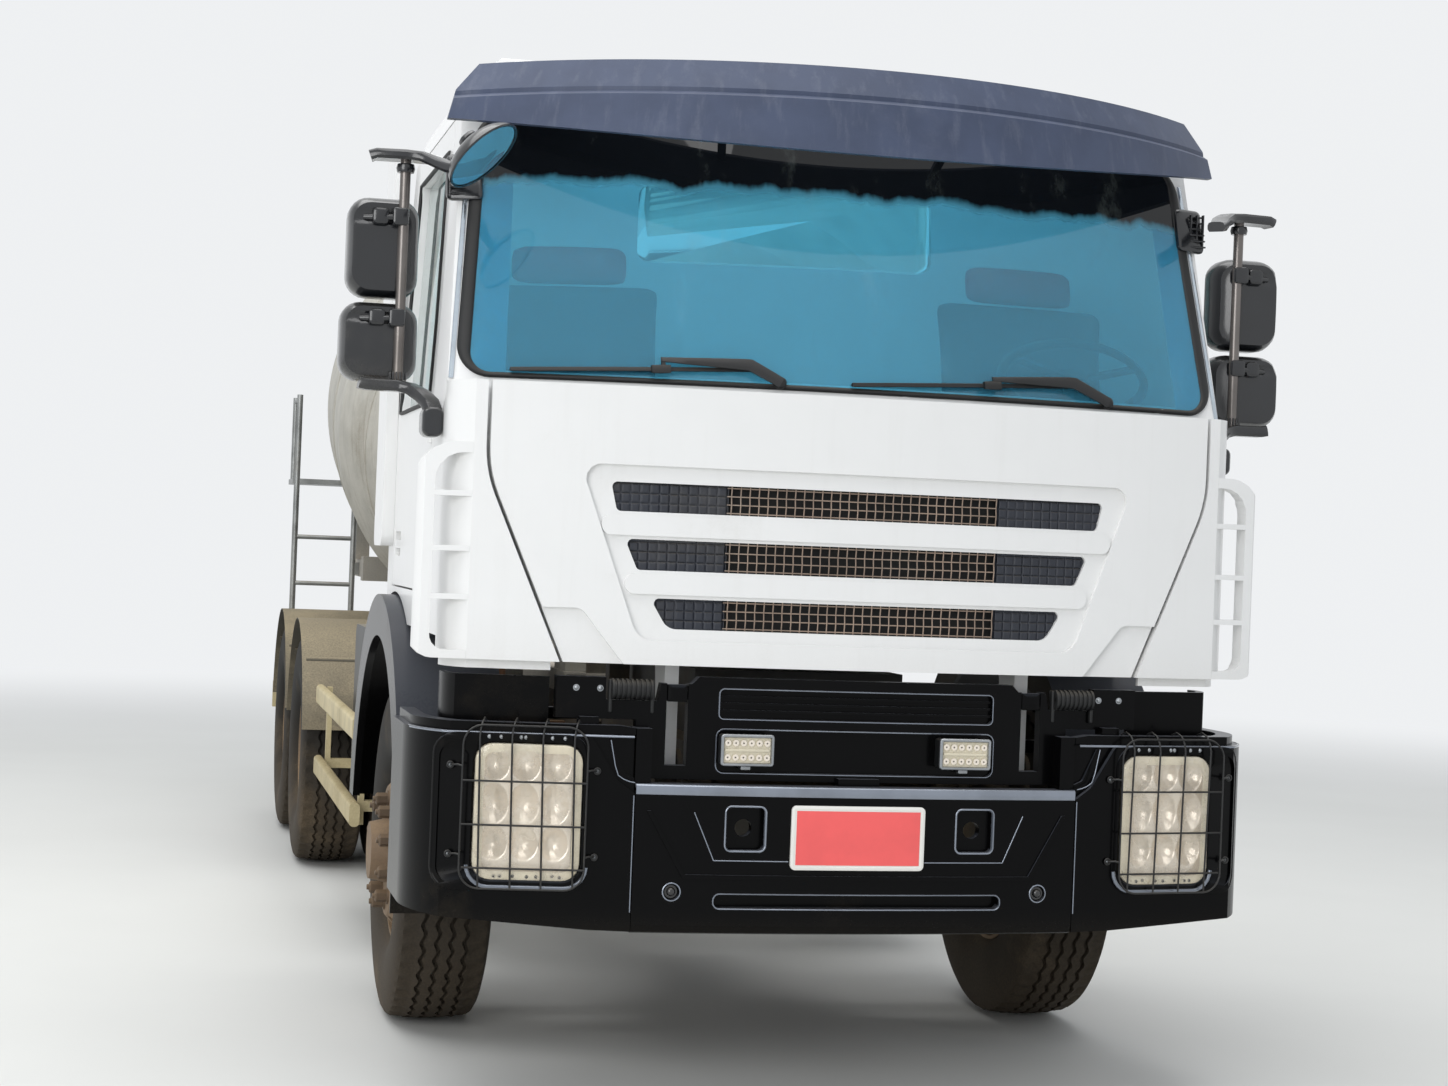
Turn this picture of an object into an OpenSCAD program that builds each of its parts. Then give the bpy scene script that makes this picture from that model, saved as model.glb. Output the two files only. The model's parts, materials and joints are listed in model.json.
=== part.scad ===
// Concrete mixer truck: a 6x4 forward-control lorry with a rear-discharge drum.
// The model looks along +Y from its front bumper; +X is the vehicle's own left side and Z 0 is the road.
// Every piece is drawn with the front axle at Y 0, then moved so that the part's middle is at the origin.

/* [Stance] */
// Front axle to first rear axle
wheelbase = 3800; // [3500:50:4400]
// First rear axle to second rear axle
tandem = 1350; // [1300:10:1450]
// Front axle to the foremost edge of the sun visor
front_overhang = 1500; // [1480:5:1560]
// Between the middles of the front tyres
front_track = 2050; // [2000:10:2080]
// Between the middles of the rear twin wheels
rear_track = 1830; // [1810:5:1850]
// Between the two tyres of a twin wheel
twin_pitch = 340; // [330:2:350]

/* [Tyres and rims] */
// Outer radius of a tyre
tyre_r = 538; // [520:1:545]
// Width of a tyre
tyre_w = 300; // [280:2:305]
// Radius where the tyre sits on its rim
rim_r = 286; // [270:1:295]
// Width of a rim
rim_w = 228; // [210:2:240]
// Radius of a wheel's mounting disc centre, the hub
hub_r = 140; // [130:1:150]
// Radius of the circle that the wheel nuts stand on
nut_circle_r = 167; // [160:1:175]
// Nuts on each wheel
nut_count = 10; // [8:1:12]

/* [Frame] */
// Outer width over the two frame rails
rail_span = 850; // [820:5:870]
// Height of a frame rail
rail_h = 280; // [250:5:290]
// Flange width of a frame rail
rail_flange = 80; // [70:1:90]
// Plate thickness of a frame rail
rail_t = 9; // [7:0.5:11]
// Height of the top of the frame rails over the road
rail_top = 1000; // [990:1:1010]
// Height of the mixer's subframe on top of the rails
subframe_h = 80; // [70:1:90]

/* [Front axle] */
// Middle of a front tyre to its steering pivot
kingpin_inset = 145; // [140:1:165]
// Radius of a steering pivot pin
kingpin_r = 25; // [22:0.5:28]
// Height of the axle beam's section
beam_h = 110; // [95:1:115]
// Width of a leaf spring
leaf_w = 90; // [75:1:95]
// Thickness of one spring leaf
leaf_t = 14; // [11:0.5:16]

/* [Bumper] */
// Half width of the bumper
bumper_half = 1250; // [1235:1:1255]
// Height of the bumper's lower edge in the middle
bumper_z0 = 502; // [490:1:520]
// Height of the bumper's upper edge in the middle
bumper_z1 = 912; // [900:1:920]
// Height of the upper edge of the bumper's corners
corner_z1 = 1068; // [1055:1:1080]
// Height of the lower edge of the bumper's corners
corner_z0 = 544; // [530:1:560]
// Half width of the bumper's middle piece
seam_x = 643; // [630:1:660]
// Wall of the bumper
bumper_t = 60; // [50:1:70]

/* [Cab] */
// Half width of the cab at the doors
cab_half = 1170; // [1155:1:1180]
// Height of the cab floor's underside
floor_z = 1290; // [1286:1:1300]
// Height of the roof at the back
roof_z = 2960; // [2900:5:3000]
// Front axle to the cab's back wall
cab_back = 280; // [260:5:320]
// Thickness of the cab's walls and doors
cab_t = 60; // [50:1:64]
// Thickness of the cab's window glass
glass_t = 8; // [6:0.5:10]
// Lean of the windscreen
screen_lean = 17; // [15:0.5:19]
// Height of the windscreen's lower edge
screen_z0 = 2030; // [2020:1:2050]
// Height of the windscreen's upper edge
screen_z1 = 2780; // [2740:5:2790]
// Front edge of the doors
door_front = -850; // [-860:1:-845]
// Width of a door
door_w = 970; // [930:5:990]
// Height of the door's lower edge
door_z0 = 1405; // [1400:1:1420]
// Height of the door's upper edge
door_z1 = 2800; // [2760:5:2820]

/* [Front flap and corner panels] */
// Height of the flap's lower edge
flap_z0 = 1235; // [1232:1:1245]
// Height of the flap's upper edge
flap_z1 = 2003; // [1995:1:2010]
// Half width of the flap at its top
flap_top_half = 1072; // [1060:1:1080]
// Half width of the flap at its bottom
flap_low_half = 851; // [840:1:865]
// Thickness of the flap and the corner panels
skin_t = 46; // [40:1:50]

/* [Sun visor] */
// Radius of the visor's curve seen from above
visor_r = 1790; // [1750:5:1850]
// Height of the groove between the visor's two steps
visor_groove_z = 2836; // [2820:1:2850]

/* [Mixer drum] */
// Largest radius of the drum
drum_r = 1040; // [1010:5:1050]
// Height of the drum's axis at its widest section
drum_z = 2165; // [2155:1:2185]
// Front axle to the drum's widest section
drum_y = 4700; // [4680:5:4720]
// Slope of the drum's axis, front end lower
drum_tilt = 12; // [11.5:0.1:12.5]
// Plate thickness of the drum
drum_t = 8; // [5:0.5:10]
// Radius of the drum's mouth
mouth_r = 500; // [480:5:510]
// Outer radius of the drum's track ring
ring_r = 862; // [850:1:880]
// Radius of a drum roller
roller_r = 110; // [100:1:115]
// Angle of each roller from the lowest point of the ring
roller_angle = 32; // [30:0.5:34]

/* [Hopper and chutes] */
// Height of the loading hopper's rim
hopper_z = 3500; // [3450:5:3550]
// Front axle to the upright axis that the chute swings about
swing_y = 7120; // [7100:5:7140]
// Height of the chute's tilting pins
chute_pin_z = 1780; // [1775:1:1785]
// Slope of the chute as it is stored
chute_slope = 40; // [38:0.5:42]
// Length of the chute from its tilting pins to its end
chute_len = 1150; // [1100:5:1200]
// Length of the folding extension of the chute
extension_len = 840; // [780:5:860]
// Inner radius of the chutes
chute_r = 220; // [210:1:225]
// Plate thickness of the hopper and chutes
sheet_t = 5; // [4:0.5:6]

/* [Fits] */
// Gap between a fixed piece and what it sits on
seat_gap = 0.3; // [0.2:0.05:0.4]
// Gap round a door
shut_gap = 6; // [5.5:0.5:7]
// Gap beside the front flap, whose rear edge sinks as it lifts
flap_gap = 11; // [10:0.5:14]
// Radial clearance of a pin or shaft in its hole
pin_fit = 0.05; // [0.02:0.01:0.1]

/* [Hidden] */
$fn = 96;
wide_fn = 256;

// Places along the vehicle, from the front axle
door_back = door_front + door_w;
axle_1_y = wheelbase;
axle_2_y = wheelbase + tandem;
bogie_y = wheelbase + tandem / 2;
axle_z = tyre_r;
rail_half = rail_span / 2;
rail_bottom = rail_top - rail_h;
rail_front = -1150;
rail_back = axle_2_y + 1300;
subframe_top = rail_top + subframe_h;
// The folded extension lies this far over the chute; its rim is the hindmost point
fold_z = 4;
chute_end_y = swing_y + chute_len * cos(chute_slope) + (chute_r + sheet_t + 2 * fold_z) * sin(chute_slope);
mid_y = (chute_end_y - front_overhang) / 2;

// Everything below is drawn about the front axle
module placed() translate([0, -mid_y, 0]) children();
module both_sides() { children(); mirror([1, 0, 0]) children(); }
// A box from its low corner to its high corner
module box(low, high) translate(low) cube(high - low);
// A round bar along X
module bar_x(x0, x1, y, z, r) translate([x0, y, z]) rotate([0, 90, 0]) cylinder(h = x1 - x0, r = r);
// A round bar along Y
module bar_y(y0, y1, x, z, r) translate([x, y0, z]) rotate([-90, 0, 0]) cylinder(h = y1 - y0, r = r);
// An outline of Y and Z points, extruded along X
module side_cut(x0, x1) translate([x0, 0, 0]) rotate([90, 0, 90]) linear_extrude(x1 - x0) children();
// An outline of X and Z points, extruded along Y
module front_cut(y0, y1) translate([0, y1, 0]) rotate([90, 0, 0]) linear_extrude(y1 - y0) children();
// A rectangle with round corners, from its low corner to its high corner
module round_rect(low, high, r) {
    translate([low[0] + r, low[1]]) square([high[0] - low[0] - 2 * r, high[1] - low[1]]);
    translate([low[0], low[1] + r]) square([high[0] - low[0], high[1] - low[1] - 2 * r]);
    for (x = [low[0] + r, high[0] - r], z = [low[1] + r, high[1] - r]) translate([x, z]) circle(r);
}
// An outline from [x, z, corner radius] points, each corner turned into a short arc
arc_steps = 5;
function unit(v) = v / norm(v);
function corner_arc(a, b, c, r) = let(
    tip = [b[0], b[1]],
    u = unit([a[0], a[1]] - tip),
    v = unit([c[0], c[1]] - tip),
    half = acos(u * v) / 2,
    middle = tip + unit(u + v) * r / sin(half),
    first = tip + u * r / tan(half) - middle,
    last = tip + v * r / tan(half) - middle)
    [for (k = [0:arc_steps]) middle + unit(first * (arc_steps - k) + last * k) * r];
function rounded(p) = [for (i = [0:len(p) - 1]) each p[i][2] == 0 ? [[p[i][0], p[i][1]]]
    : corner_arc(p[(i + len(p) - 1) % len(p)], p[i], p[(i + 1) % len(p)], p[i][2])];

// Rails, cross members and the cab's front hinge brackets
cab_pivot_y = -1250;
cab_pivot_z = 950;
cab_pivot_r = 25;
hinge_x = 520;
hinge_arm_t = 40;
cross_y = [-1080, 1650, 2450, 3150, bogie_y, axle_2_y + 620, rail_back - 60];
module frame() color("#2b2b2d") placed() {
    both_sides() difference() {
        box([rail_half - rail_flange, rail_front, rail_bottom], [rail_half, rail_back, rail_top]);
        box([0, rail_front - 1, rail_bottom + rail_t], [rail_half - rail_t, rail_back + 1, rail_top - rail_t]);
    }
    for (y = cross_y)
        difference() {
            box([-rail_half + rail_t / 2, y, rail_bottom + 110], [rail_half - rail_t / 2, y + 60, rail_top - 70]);
            box([-rail_half + rail_flange, y - 1, rail_bottom + 118], [rail_half - rail_flange, y + 52, rail_top - 78]);
        }
    both_sides() {
        // Hinge bracket of the cab, with its pin
        for (x = [hinge_x - hinge_arm_t / 2 - 18, hinge_x + hinge_arm_t / 2 + 6])
            side_cut(x, x + 12) {
                translate([cab_pivot_y, cab_pivot_z]) circle(45);
                polygon([[cab_pivot_y - 45, cab_pivot_z], [cab_pivot_y + 45, cab_pivot_z],
                         [rail_front + 160, rail_bottom + 180], [rail_front + 160, rail_bottom + 20],
                         [cab_pivot_y - 45, rail_bottom + 20]]);
            }
        box([rail_half - 1, rail_front + 20, rail_bottom + 60],
            [hinge_x + hinge_arm_t / 2 + 18, rail_front + 100, rail_bottom + 140]);
        bar_x(hinge_x - hinge_arm_t / 2 - 18, hinge_x + hinge_arm_t / 2 + 18, cab_pivot_y, cab_pivot_z, cab_pivot_r);
        // Bumper bracket
        box([rail_half - 30, bumper_front + bumper_t + arc_back(rail_half) + 2 * seat_gap, rail_bottom + 30],
            [rail_half, rail_front + 50, rail_bottom + 130]);
    }
    // Rear support of the cab
    both_sides() box([rail_half - 75, cab_back - 130, rail_top - rail_t], [rail_half - 5, cab_back - 60, floor_z - 80]);
    box([-rail_half - 120, cab_back - 140, floor_z - 80], [rail_half + 120, cab_back - 50, floor_z - seat_gap]);
    // End plate with the arm and the post that the discharge chute swings on
    box([-200, rail_back - 20, rail_bottom - 20], [200, rail_back, rail_top - 70]);
    box([-60, rail_back - 10, rail_bottom - 20], [60, swing_y, rail_bottom + 80]);
    translate([0, swing_y, rail_bottom - 20]) cylinder(h = 100, r = 60);
    translate([0, swing_y, rail_bottom]) cylinder(h = swivel_z1 - rail_bottom, r = post_r);
}

// One plain block stands for the engine, a second for its gearbox
engine_half = 330;
module engine() color("#55585a") placed() {
    box([-engine_half, -760, 640], [engine_half, 420, 1195]);
    box([-210, 419, 640], [210, 1300, 990]);
    both_sides() for (y = [-500, 250])
        box([engine_half - 1, y, 800], [rail_half - rail_t - seat_gap, y + 100, 900]);
    bar_y(1299, 1380, 0, 800, 70);
}

// Forged front axle, dropped in the middle
kingpin_x = front_track / 2 - kingpin_inset;
eye_r = 55;
eye_h = 136;
beam_z = axle_z - 95;
spring_x = 430;
module front_axle() color("#4a4038") placed() {
    difference() {
        union() {
            front_cut(-45, 45) polygon([[-kingpin_x + 30, axle_z + 45], [-kingpin_x + 170, axle_z + 45],
                [-kingpin_x + 300, beam_z + beam_h / 2], [kingpin_x - 300, beam_z + beam_h / 2],
                [kingpin_x - 170, axle_z + 45], [kingpin_x - 30, axle_z + 45],
                [kingpin_x - 30, axle_z - 45], [kingpin_x - 200, axle_z - 45],
                [kingpin_x - 330, beam_z - beam_h / 2], [-kingpin_x + 330, beam_z - beam_h / 2],
                [-kingpin_x + 200, axle_z - 45], [-kingpin_x + 30, axle_z - 45]]);
            both_sides() translate([kingpin_x, 0, axle_z - eye_h / 2]) cylinder(h = eye_h, r = eye_r);
        }
        both_sides() translate([kingpin_x, 0, 0]) cylinder(h = 2 * axle_z, r = kingpin_r + pin_fit);
        for (s = [-1, 1]) box([-kingpin_x + 340, s > 0 ? 18 : -46, beam_z - beam_h / 2 + 18],
                              [kingpin_x - 340, s > 0 ? 46 : -18, beam_z + beam_h / 2 - 18]);
    }
}

// Two driven rear axles with their round final drives
rear_x = rear_track / 2;
spindle_r = 60;
hub_half = 190;
axle_back = 250;
module rear_axle(y) {
    bar_x(-rear_x + hub_half + 8, rear_x - hub_half - 8, y, axle_z, 82);
    bar_x(-rear_x - hub_half, rear_x + hub_half, y, axle_z, spindle_r);
    translate([0, y, axle_z]) intersection() {
        sphere(r = 245);
        box([-150, -250, -215], [150, 250, 215]);
    }
    bar_y(y - pinion_y, y + axle_back, 0, axle_z, 95);
}
module rear_axles() color("#4a4038") placed() for (y = [axle_1_y, axle_2_y]) rear_axle(y);

// A spring leaf: a band of a large circle, cut to its length
module leaf(x, y, z, half, r, up) translate([x - leaf_w / 2, y, z]) side_cut(0, leaf_w) intersection() {
    translate([0, up * r]) difference() { circle(r + leaf_t / 2, $fn = wide_fn); circle(r - leaf_t / 2, $fn = wide_fn); }
    translate([-half, up > 0 ? -leaf_t : -half]) square([2 * half, half + leaf_t]);
}
front_spring_z = beam_z + beam_h / 2 + seat_gap;
bogie_spring_z = 850;
module springs() color("#3a3532") placed() {
    both_sides() {
        for (i = [0:3])
            leaf(spring_x, 0, front_spring_z + leaf_t / 2 + i * leaf_t, 760 - (3 - i) * 150, 2200 - i * leaf_t, 1);
        // Hangers that carry the front springs' ends
        for (y = [-745, 745])
            box([spring_x - leaf_w / 2, y - 30, front_spring_z + 4 * leaf_t + 95],
                [rail_half + leaf_w / 2 + 5, y + 30, rail_bottom - seat_gap]);
    }
    both_sides() {
        // Rear bogie springs, arched over their pivots
        for (i = [0:4])
            leaf(rail_half + 15 + leaf_w / 2, bogie_y, bogie_spring_z - i * leaf_t, 700 - i * 90, 2600 - i * leaf_t, -1);
        box([rail_half + seat_gap, bogie_y - 80, bogie_spring_z - 4.5 * leaf_t - 120],
            [rail_half + 15 + leaf_w, bogie_y + 80, bogie_spring_z - 4.4 * leaf_t]);
    }
}

// Drive shafts from the gearbox to both rear axles
module shaft(y0, z0, y1, z1, r) {
    len = norm([y1 - y0, z1 - z0]);
    translate([0, y0, z0]) rotate([-90 + atan2(z1 - z0, y1 - y0), 0, 0]) cylinder(h = len, r = r);
    for (p = [[y0, z0], [y1, z1]]) translate([0, p[0], p[1]]) sphere(r = joint_r);
}
joint_r = 66;
pinion_y = 300;
module drive_shafts() color("#55504a") placed() {
    shaft(1380 + joint_r + seat_gap, 800, axle_1_y - pinion_y - joint_r - seat_gap, axle_z, 48);
    shaft(axle_1_y + axle_back + joint_r + seat_gap, axle_z, axle_2_y - pinion_y - joint_r - seat_gap, axle_z, 48);
}

// Plan outline of the front: a wide arc across, round corners at the sides, set back by a drop
front_arc_r = 6500;
module nose_plan(half, front, corner, back, drop = 0) intersection() {
    translate([0, front + front_arc_r]) circle(front_arc_r, $fn = wide_fn);
    union() {
        round_rect([-half, front + drop], [half, front + drop + 2 * corner + 10], corner);
        translate([-half, front + drop + corner]) square([2 * half, max(1, back - front - drop - corner)]);
        if (drop > 0) translate([corner - half, front - 1]) square([2 * (half - corner), drop + corner + 1]);
    }
    translate([-half, front - 1]) square([2 * half, back - front + 1]);
}
// A wall that follows the plan outline, between two heights
module nose_wall(half, front, corner, back, t, z0, z1, drop = 0)
    translate([0, 0, z0]) linear_extrude(z1 - z0) difference() {
        nose_plan(half, front, corner, back, drop);
        nose_plan(half - t, front + t, corner - t / 2, back + 1, drop);
    }
// How far the wide arc lies behind its foremost point
function arc_back(x) = x * x / 2 / front_arc_r;

// Bumper: middle piece, two corners and the black panel above them
bumper_front = -1475;
bumper_corner_r = 330;
bumper_back = -870;
lamp_x0 = 812;
lamp_x1 = 1168;
lamp_z0 = 633;
lamp_z1 = 1011;
lamp_round = 45;
module lamp_outline(grow) round_rect([lamp_x0 - grow, lamp_z0 - grow], [lamp_x1 + grow, lamp_z1 + grow], lamp_round);
panel_front = -1400;
panel_top = 1205;
tow_x = 333;
tow_z = 794;
tow_r = 24;
ledge = 18;
ledge_h = 26;
module bumper_layer(depth, z1) nose_wall(bumper_half - depth, bumper_front + depth, bumper_corner_r - depth / 2,
    bumper_back, bumper_t - depth, bumper_z0, z1);
// Front view of a corner: its proud face, and the ledge behind that runs up to the full height
module corner_face() polygon(rounded([[seam_x, bumper_z0 + 5, 0], [seam_x + 120, bumper_z0 + 8, 0],
    [1400, corner_z0 + 10, 0], [1400, corner_z1 - ledge_h, 0], [seam_x + 125, corner_z1 - ledge_h, 30],
    [seam_x + 48, bumper_z1 + 8, 40], [seam_x, bumper_z1 - ledge_h, 0]]));
module corner_ledge() polygon([[seam_x, bumper_z0 + 40], [1400, corner_z0 + 40], [1400, corner_z1],
    [seam_x + 40, corner_z1], [seam_x, corner_z1 - 6]]);
module corner_pocket() polygon(rounded([[seam_x - 5, corner_z1 - 24, 0], [seam_x + 76, corner_z1 - 24, 10],
    [seam_x + 26, bumper_z1 + 26, 18], [seam_x - 5, bumper_z1 + 12, 0]]));
rib_w = 12;
rib_proud = 6;
module rib_outline(inset) polygon([[-610 + inset, 840], [-505 + inset / 2, 655 + inset], [505 - inset / 2, 655 + inset],
    [610 - inset, 840]]);
panel_t = 40;
lamp_recess = 25;
slat_z = [1092, 1172];
// Front view of the panel above the bumper: raised in the middle, with a plate over each corner
plate_x1 = 855;
module panel_outline() both_sides() polygon([[-10, bumper_z1 + 8], [seam_x - 10, bumper_z1 + 8],
    [seam_x - 10, corner_z1 + 14], [plate_x1, corner_z1 + 14], [plate_x1, panel_top - 8], [719, panel_top - 8],
    [719, 1135], [575, 1135], [566, 1185], [480, 1185], [460, panel_top], [-10, panel_top]]);
module bumper() color("#101113") placed() {
    // Middle piece: an arched bar with rounded edges, its tow pockets, slot and bolt recesses
    difference() {
        union() {
            intersection() {
                translate([0, bumper_front + front_arc_r, 0]) rotate([0, 0, 180]) rotate_extrude($fn = wide_fn)
                    translate([front_arc_r, 0]) polygon([[-bumper_t, bumper_z0 + 12], [-20, bumper_z0],
                        [-6, bumper_z0 + 5], [0, bumper_z0 + 24], [0, bumper_z1 - ledge_h], [-4, bumper_z1 - 10],
                        [-ledge, bumper_z1], [-bumper_t, bumper_z1]]);
                box([-seam_x + 2, -2000, 0], [seam_x - 2, 0, 2000]);
            }
            // Trapezoid rib on its face
            intersection() {
                nose_wall(bumper_half, bumper_front - rib_proud, bumper_corner_r, bumper_back, rib_proud + 2, 600, 860);
                front_cut(-2000, 0) difference() { rib_outline(0); rib_outline(rib_w); }
            }
        }
        both_sides() {
            front_cut(-2000, bumper_front + 40) round_rect([tow_x - 55, tow_z - 60], [tow_x + 55, tow_z + 60], 15);
            bar_y(-2000, 0, tow_x, tow_z, tow_r);
            bar_y(-2000, bumper_front + arc_back(533) + 14, 533, 618, 22);
        }
        front_cut(-2000, bumper_front + 45) round_rect([-415, 575], [415, 612], 16);
    }
    // Corners: a proud face, a ledge round its top and the pocket at the inner edge
    both_sides() difference() {
        union() {
            intersection() { bumper_layer(0, corner_z1); front_cut(-2000, 0) corner_face(); }
            intersection() { bumper_layer(ledge, corner_z1); front_cut(-2000, 0) corner_ledge(); }
        }
        intersection() { bumper_layer(0, corner_z1 + 1); front_cut(-2000, bumper_front + 64) corner_pocket(); }
        front_cut(-2000, -1000) lamp_outline(4);
    }
    // Panel between the bumper and the flap, slotted for the cab's hinge arms
    difference() {
        intersection() {
            nose_wall(cab_half, panel_front, 280, -1000, panel_t, bumper_z1 + 8, panel_top);
            front_cut(-2000, 0) panel_outline();
        }
        both_sides() box([hinge_x - hinge_arm_t / 2 - 10, -2000, cab_pivot_z + 8],
            [hinge_x + hinge_arm_t / 2 + 10, 0, 2000]);
        front_cut(-2000, panel_front + lamp_recess) round_rect([-405, work_lamp_z - 62], [405, work_lamp_z + 56], 20);
        front_cut(-2000, panel_front + 30) round_rect([-400, slat_z[0]], [400, slat_z[1]], 12);
    }
    // Slats in the panel's upper recess
    for (z = [slat_z[0] + 18:20:slat_z[1] - 10]) intersection() {
        nose_wall(cab_half, panel_front + 8, 280, -1000, 26, z, z + 6);
        box([-401, -2000, 0], [401, 0, 2000]);
    }
    both_sides() {
        // Block beside the seam, in line with the ledge of the corner
        intersection() {
            nose_wall(bumper_half, bumper_front + ledge, bumper_corner_r, bumper_back, 90, bumper_z1 - 20, corner_z1 - 6);
            box([seam_x - 46, -2000, 0], [seam_x - 2, 0, 2000]);
        }
        // Dark panel set back over the corner
        intersection() {
            nose_wall(1150, panel_front + 70, 200, -1100, 20, corner_z1 - 30, panel_top - 15);
            box([plate_x1 + 8, -2000, 0], [1150, 0, 2000]);
        }
        box([900, panel_front + 28, corner_z1 - 30], [940, panel_front + 150, corner_z1 - 8]);
        // Ties that carry the panel and the corners
        box([seam_x - 40, panel_front + 5, bumper_z1 - 60], [seam_x - 12, panel_front + 55, bumper_z1 + 20]);
        box([seam_x + 97, panel_front + 15, corner_z1 - 60], [seam_x + 150, panel_front + 70, corner_z1 + 20]);
        box([0, bumper_front + 50, bumper_z1 - 60], [60, panel_front + 30, bumper_z1 + 20]);
        box([seam_x - 60, bumper_front + 60, bumper_z0 + 120], [seam_x + 60, bumper_front + 100, bumper_z0 + 320]);
    }
}

// Headlamps behind their lenses, work lamps on the black panel, tail lamps on the rear bar
work_lamp_x = 321;
work_lamp_z = 1004;
module lamps() color("#e9e2cf") placed() {
    both_sides() {
        intersection() {
            nose_wall(bumper_half - 12, bumper_front + 12, bumper_corner_r, bumper_back, bumper_t + 30, lamp_z0, lamp_z1);
            front_cut(-2000, -1000) lamp_outline(0);
        }
        intersection() {
            nose_wall(bumper_half - bumper_t - seat_gap, bumper_front + bumper_t + seat_gap,
                bumper_corner_r - bumper_t / 2 - seat_gap, bumper_back, 40, lamp_z0 - 15, lamp_z1 + 15);
            front_cut(-2000, -1000) lamp_outline(15);
        }
        box([work_lamp_x - 70, panel_front - 40, work_lamp_z - 45],
            [work_lamp_x + 70, panel_front + lamp_recess - seat_gap, work_lamp_z + 45]);
        // Tail lamp
        box([760, tail_y + 60 + seat_gap, bar_z0 + 20], [1130, tail_y + 95, bar_z0 + 130]);
    }
}

// Wire guards in front of the headlamps
wire = 8;
guard_off = 22;
guard_x = [lamp_x0 - 20, 880, 948, 1016, 1084, lamp_x1 + 12];
guard_z = [lamp_z0 - 20, 716, 815, 914, lamp_z1 + 12];
module guard_plan(off) nose_plan(bumper_half + off, bumper_front - off, bumper_corner_r + off, bumper_back);
module lamp_guards() color("#17181a") placed() both_sides() {
    intersection() {
        nose_wall(bumper_half + guard_off, bumper_front - guard_off, bumper_corner_r + guard_off, bumper_back, wire,
            lamp_z0 - 60, lamp_z1 + 60);
        front_cut(-2000, -900) {
            for (x = guard_x) translate([x, guard_z[0]]) square([wire, guard_z[4] - guard_z[0] + wire]);
            for (z = guard_z) translate([guard_x[0], z]) square([guard_x[5] - guard_x[0] + wire, wire]);
        }
    }
    // Feet that stand on the bumper
    intersection() {
        for (x = [guard_x[0], guard_x[5]], z = [guard_z[0], guard_z[4]]) bar_y(-2000, -900, x + wire / 2, z + wire / 2, 7);
        translate([0, 0, lamp_z0 - 60]) linear_extrude(lamp_z1 - lamp_z0 + 120) difference() {
            guard_plan(guard_off - 1);
            guard_plan(seat_gap);
        }
    }
}

// Arches over the steered wheels, with the entry step behind the bumper
arch_in = 700;
arch_out = 835;
arch_x0 = 900;
arch_x1 = 1222;
mud_flap_z = 440;
module front_mudguards() color("#131416") placed() both_sides() {
    difference() {
        side_cut(arch_x0, arch_x1) intersection() {
            difference() {
                translate([0, axle_z]) circle(arch_out);
                translate([0, axle_z]) circle(arch_in);
            }
            polygon([[-1000, 820], [0, 820], [0, 640], [1000, 640], [1000, 1500], [-1000, 1500]]);
        }
        side_cut(arch_x0 + 15, arch_x1 - 25) translate([0, axle_z]) circle(arch_in + 60);
    }
    // Mud flap in front of the wheel
    box([arch_x0 + 1, -arch_in, mud_flap_z], [arch_x1 - 1, -arch_in + 10, axle_z + 360]);
    // Brackets to the frame
    for (y = [-500, 560])
        box([rail_half + seat_gap, y - 20, rail_top - 60], [arch_x0 + 10, y + 20, rail_top - 20]);
}

// Fuel tank on the right, battery box and air tanks on the left
tank_y0 = 1150;
tank_y1 = 2350;
module side_tanks() color("#47494b") placed() {
    side_cut(-1090, -560) round_rect([tank_y0, 585], [tank_y1, 1190], 60);
    for (y = [tank_y0 + 250, tank_y1 - 250]) box([-562, y, 880], [-rail_half - seat_gap, y + 60, 940]);
    box([620, tank_y0, 560], [1100, tank_y0 + 520, 1010]);
    box([rail_half + seat_gap, tank_y0 + 100, 880], [622, tank_y0 + 400, 940]);
    for (z = [680, 930]) bar_y(tank_y0 + 640, tank_y1, 900, z, 115);
    for (y = [tank_y0 + 760, tank_y1 - 160]) {
        box([rail_half + seat_gap, y, 780], [900, y + 50, 830]);
        box([880, y, 780], [920, y + 50, 830]);
        box([892, y, 680], [908, y + 50, 930]);
    }
}

// Water tank across the frame behind the cab
module water_tank() color("#b9b7ae") placed() {
    bar_x(-760, 760, 1180, 1460, 250);
    both_sides() box([rail_half - 90, 1060, subframe_top + seat_gap], [rail_half - 10, 1300, 1300]);
}

// Silencer and its bent tail pipe beside the frame
exhaust_x = -700;
exhaust_y = 985;
module exhaust() color("#6e5a48") placed() {
    bar_z(exhaust_x, exhaust_y, 620, 1060, 115);
    bar_z(exhaust_x, exhaust_y, 1059, 1140, 48);
    translate([exhaust_x - 100, exhaust_y, 1140]) rotate([90, 0, 0]) rotate_extrude(angle = 90) translate([100, 0]) circle(48);
    bar_x(exhaust_x - 230, exhaust_x - 100, exhaust_y, 1240, 48);
    box([exhaust_x + 90, exhaust_y - 30, 840], [-rail_half - seat_gap, exhaust_y + 30, 900]);
}

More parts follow.
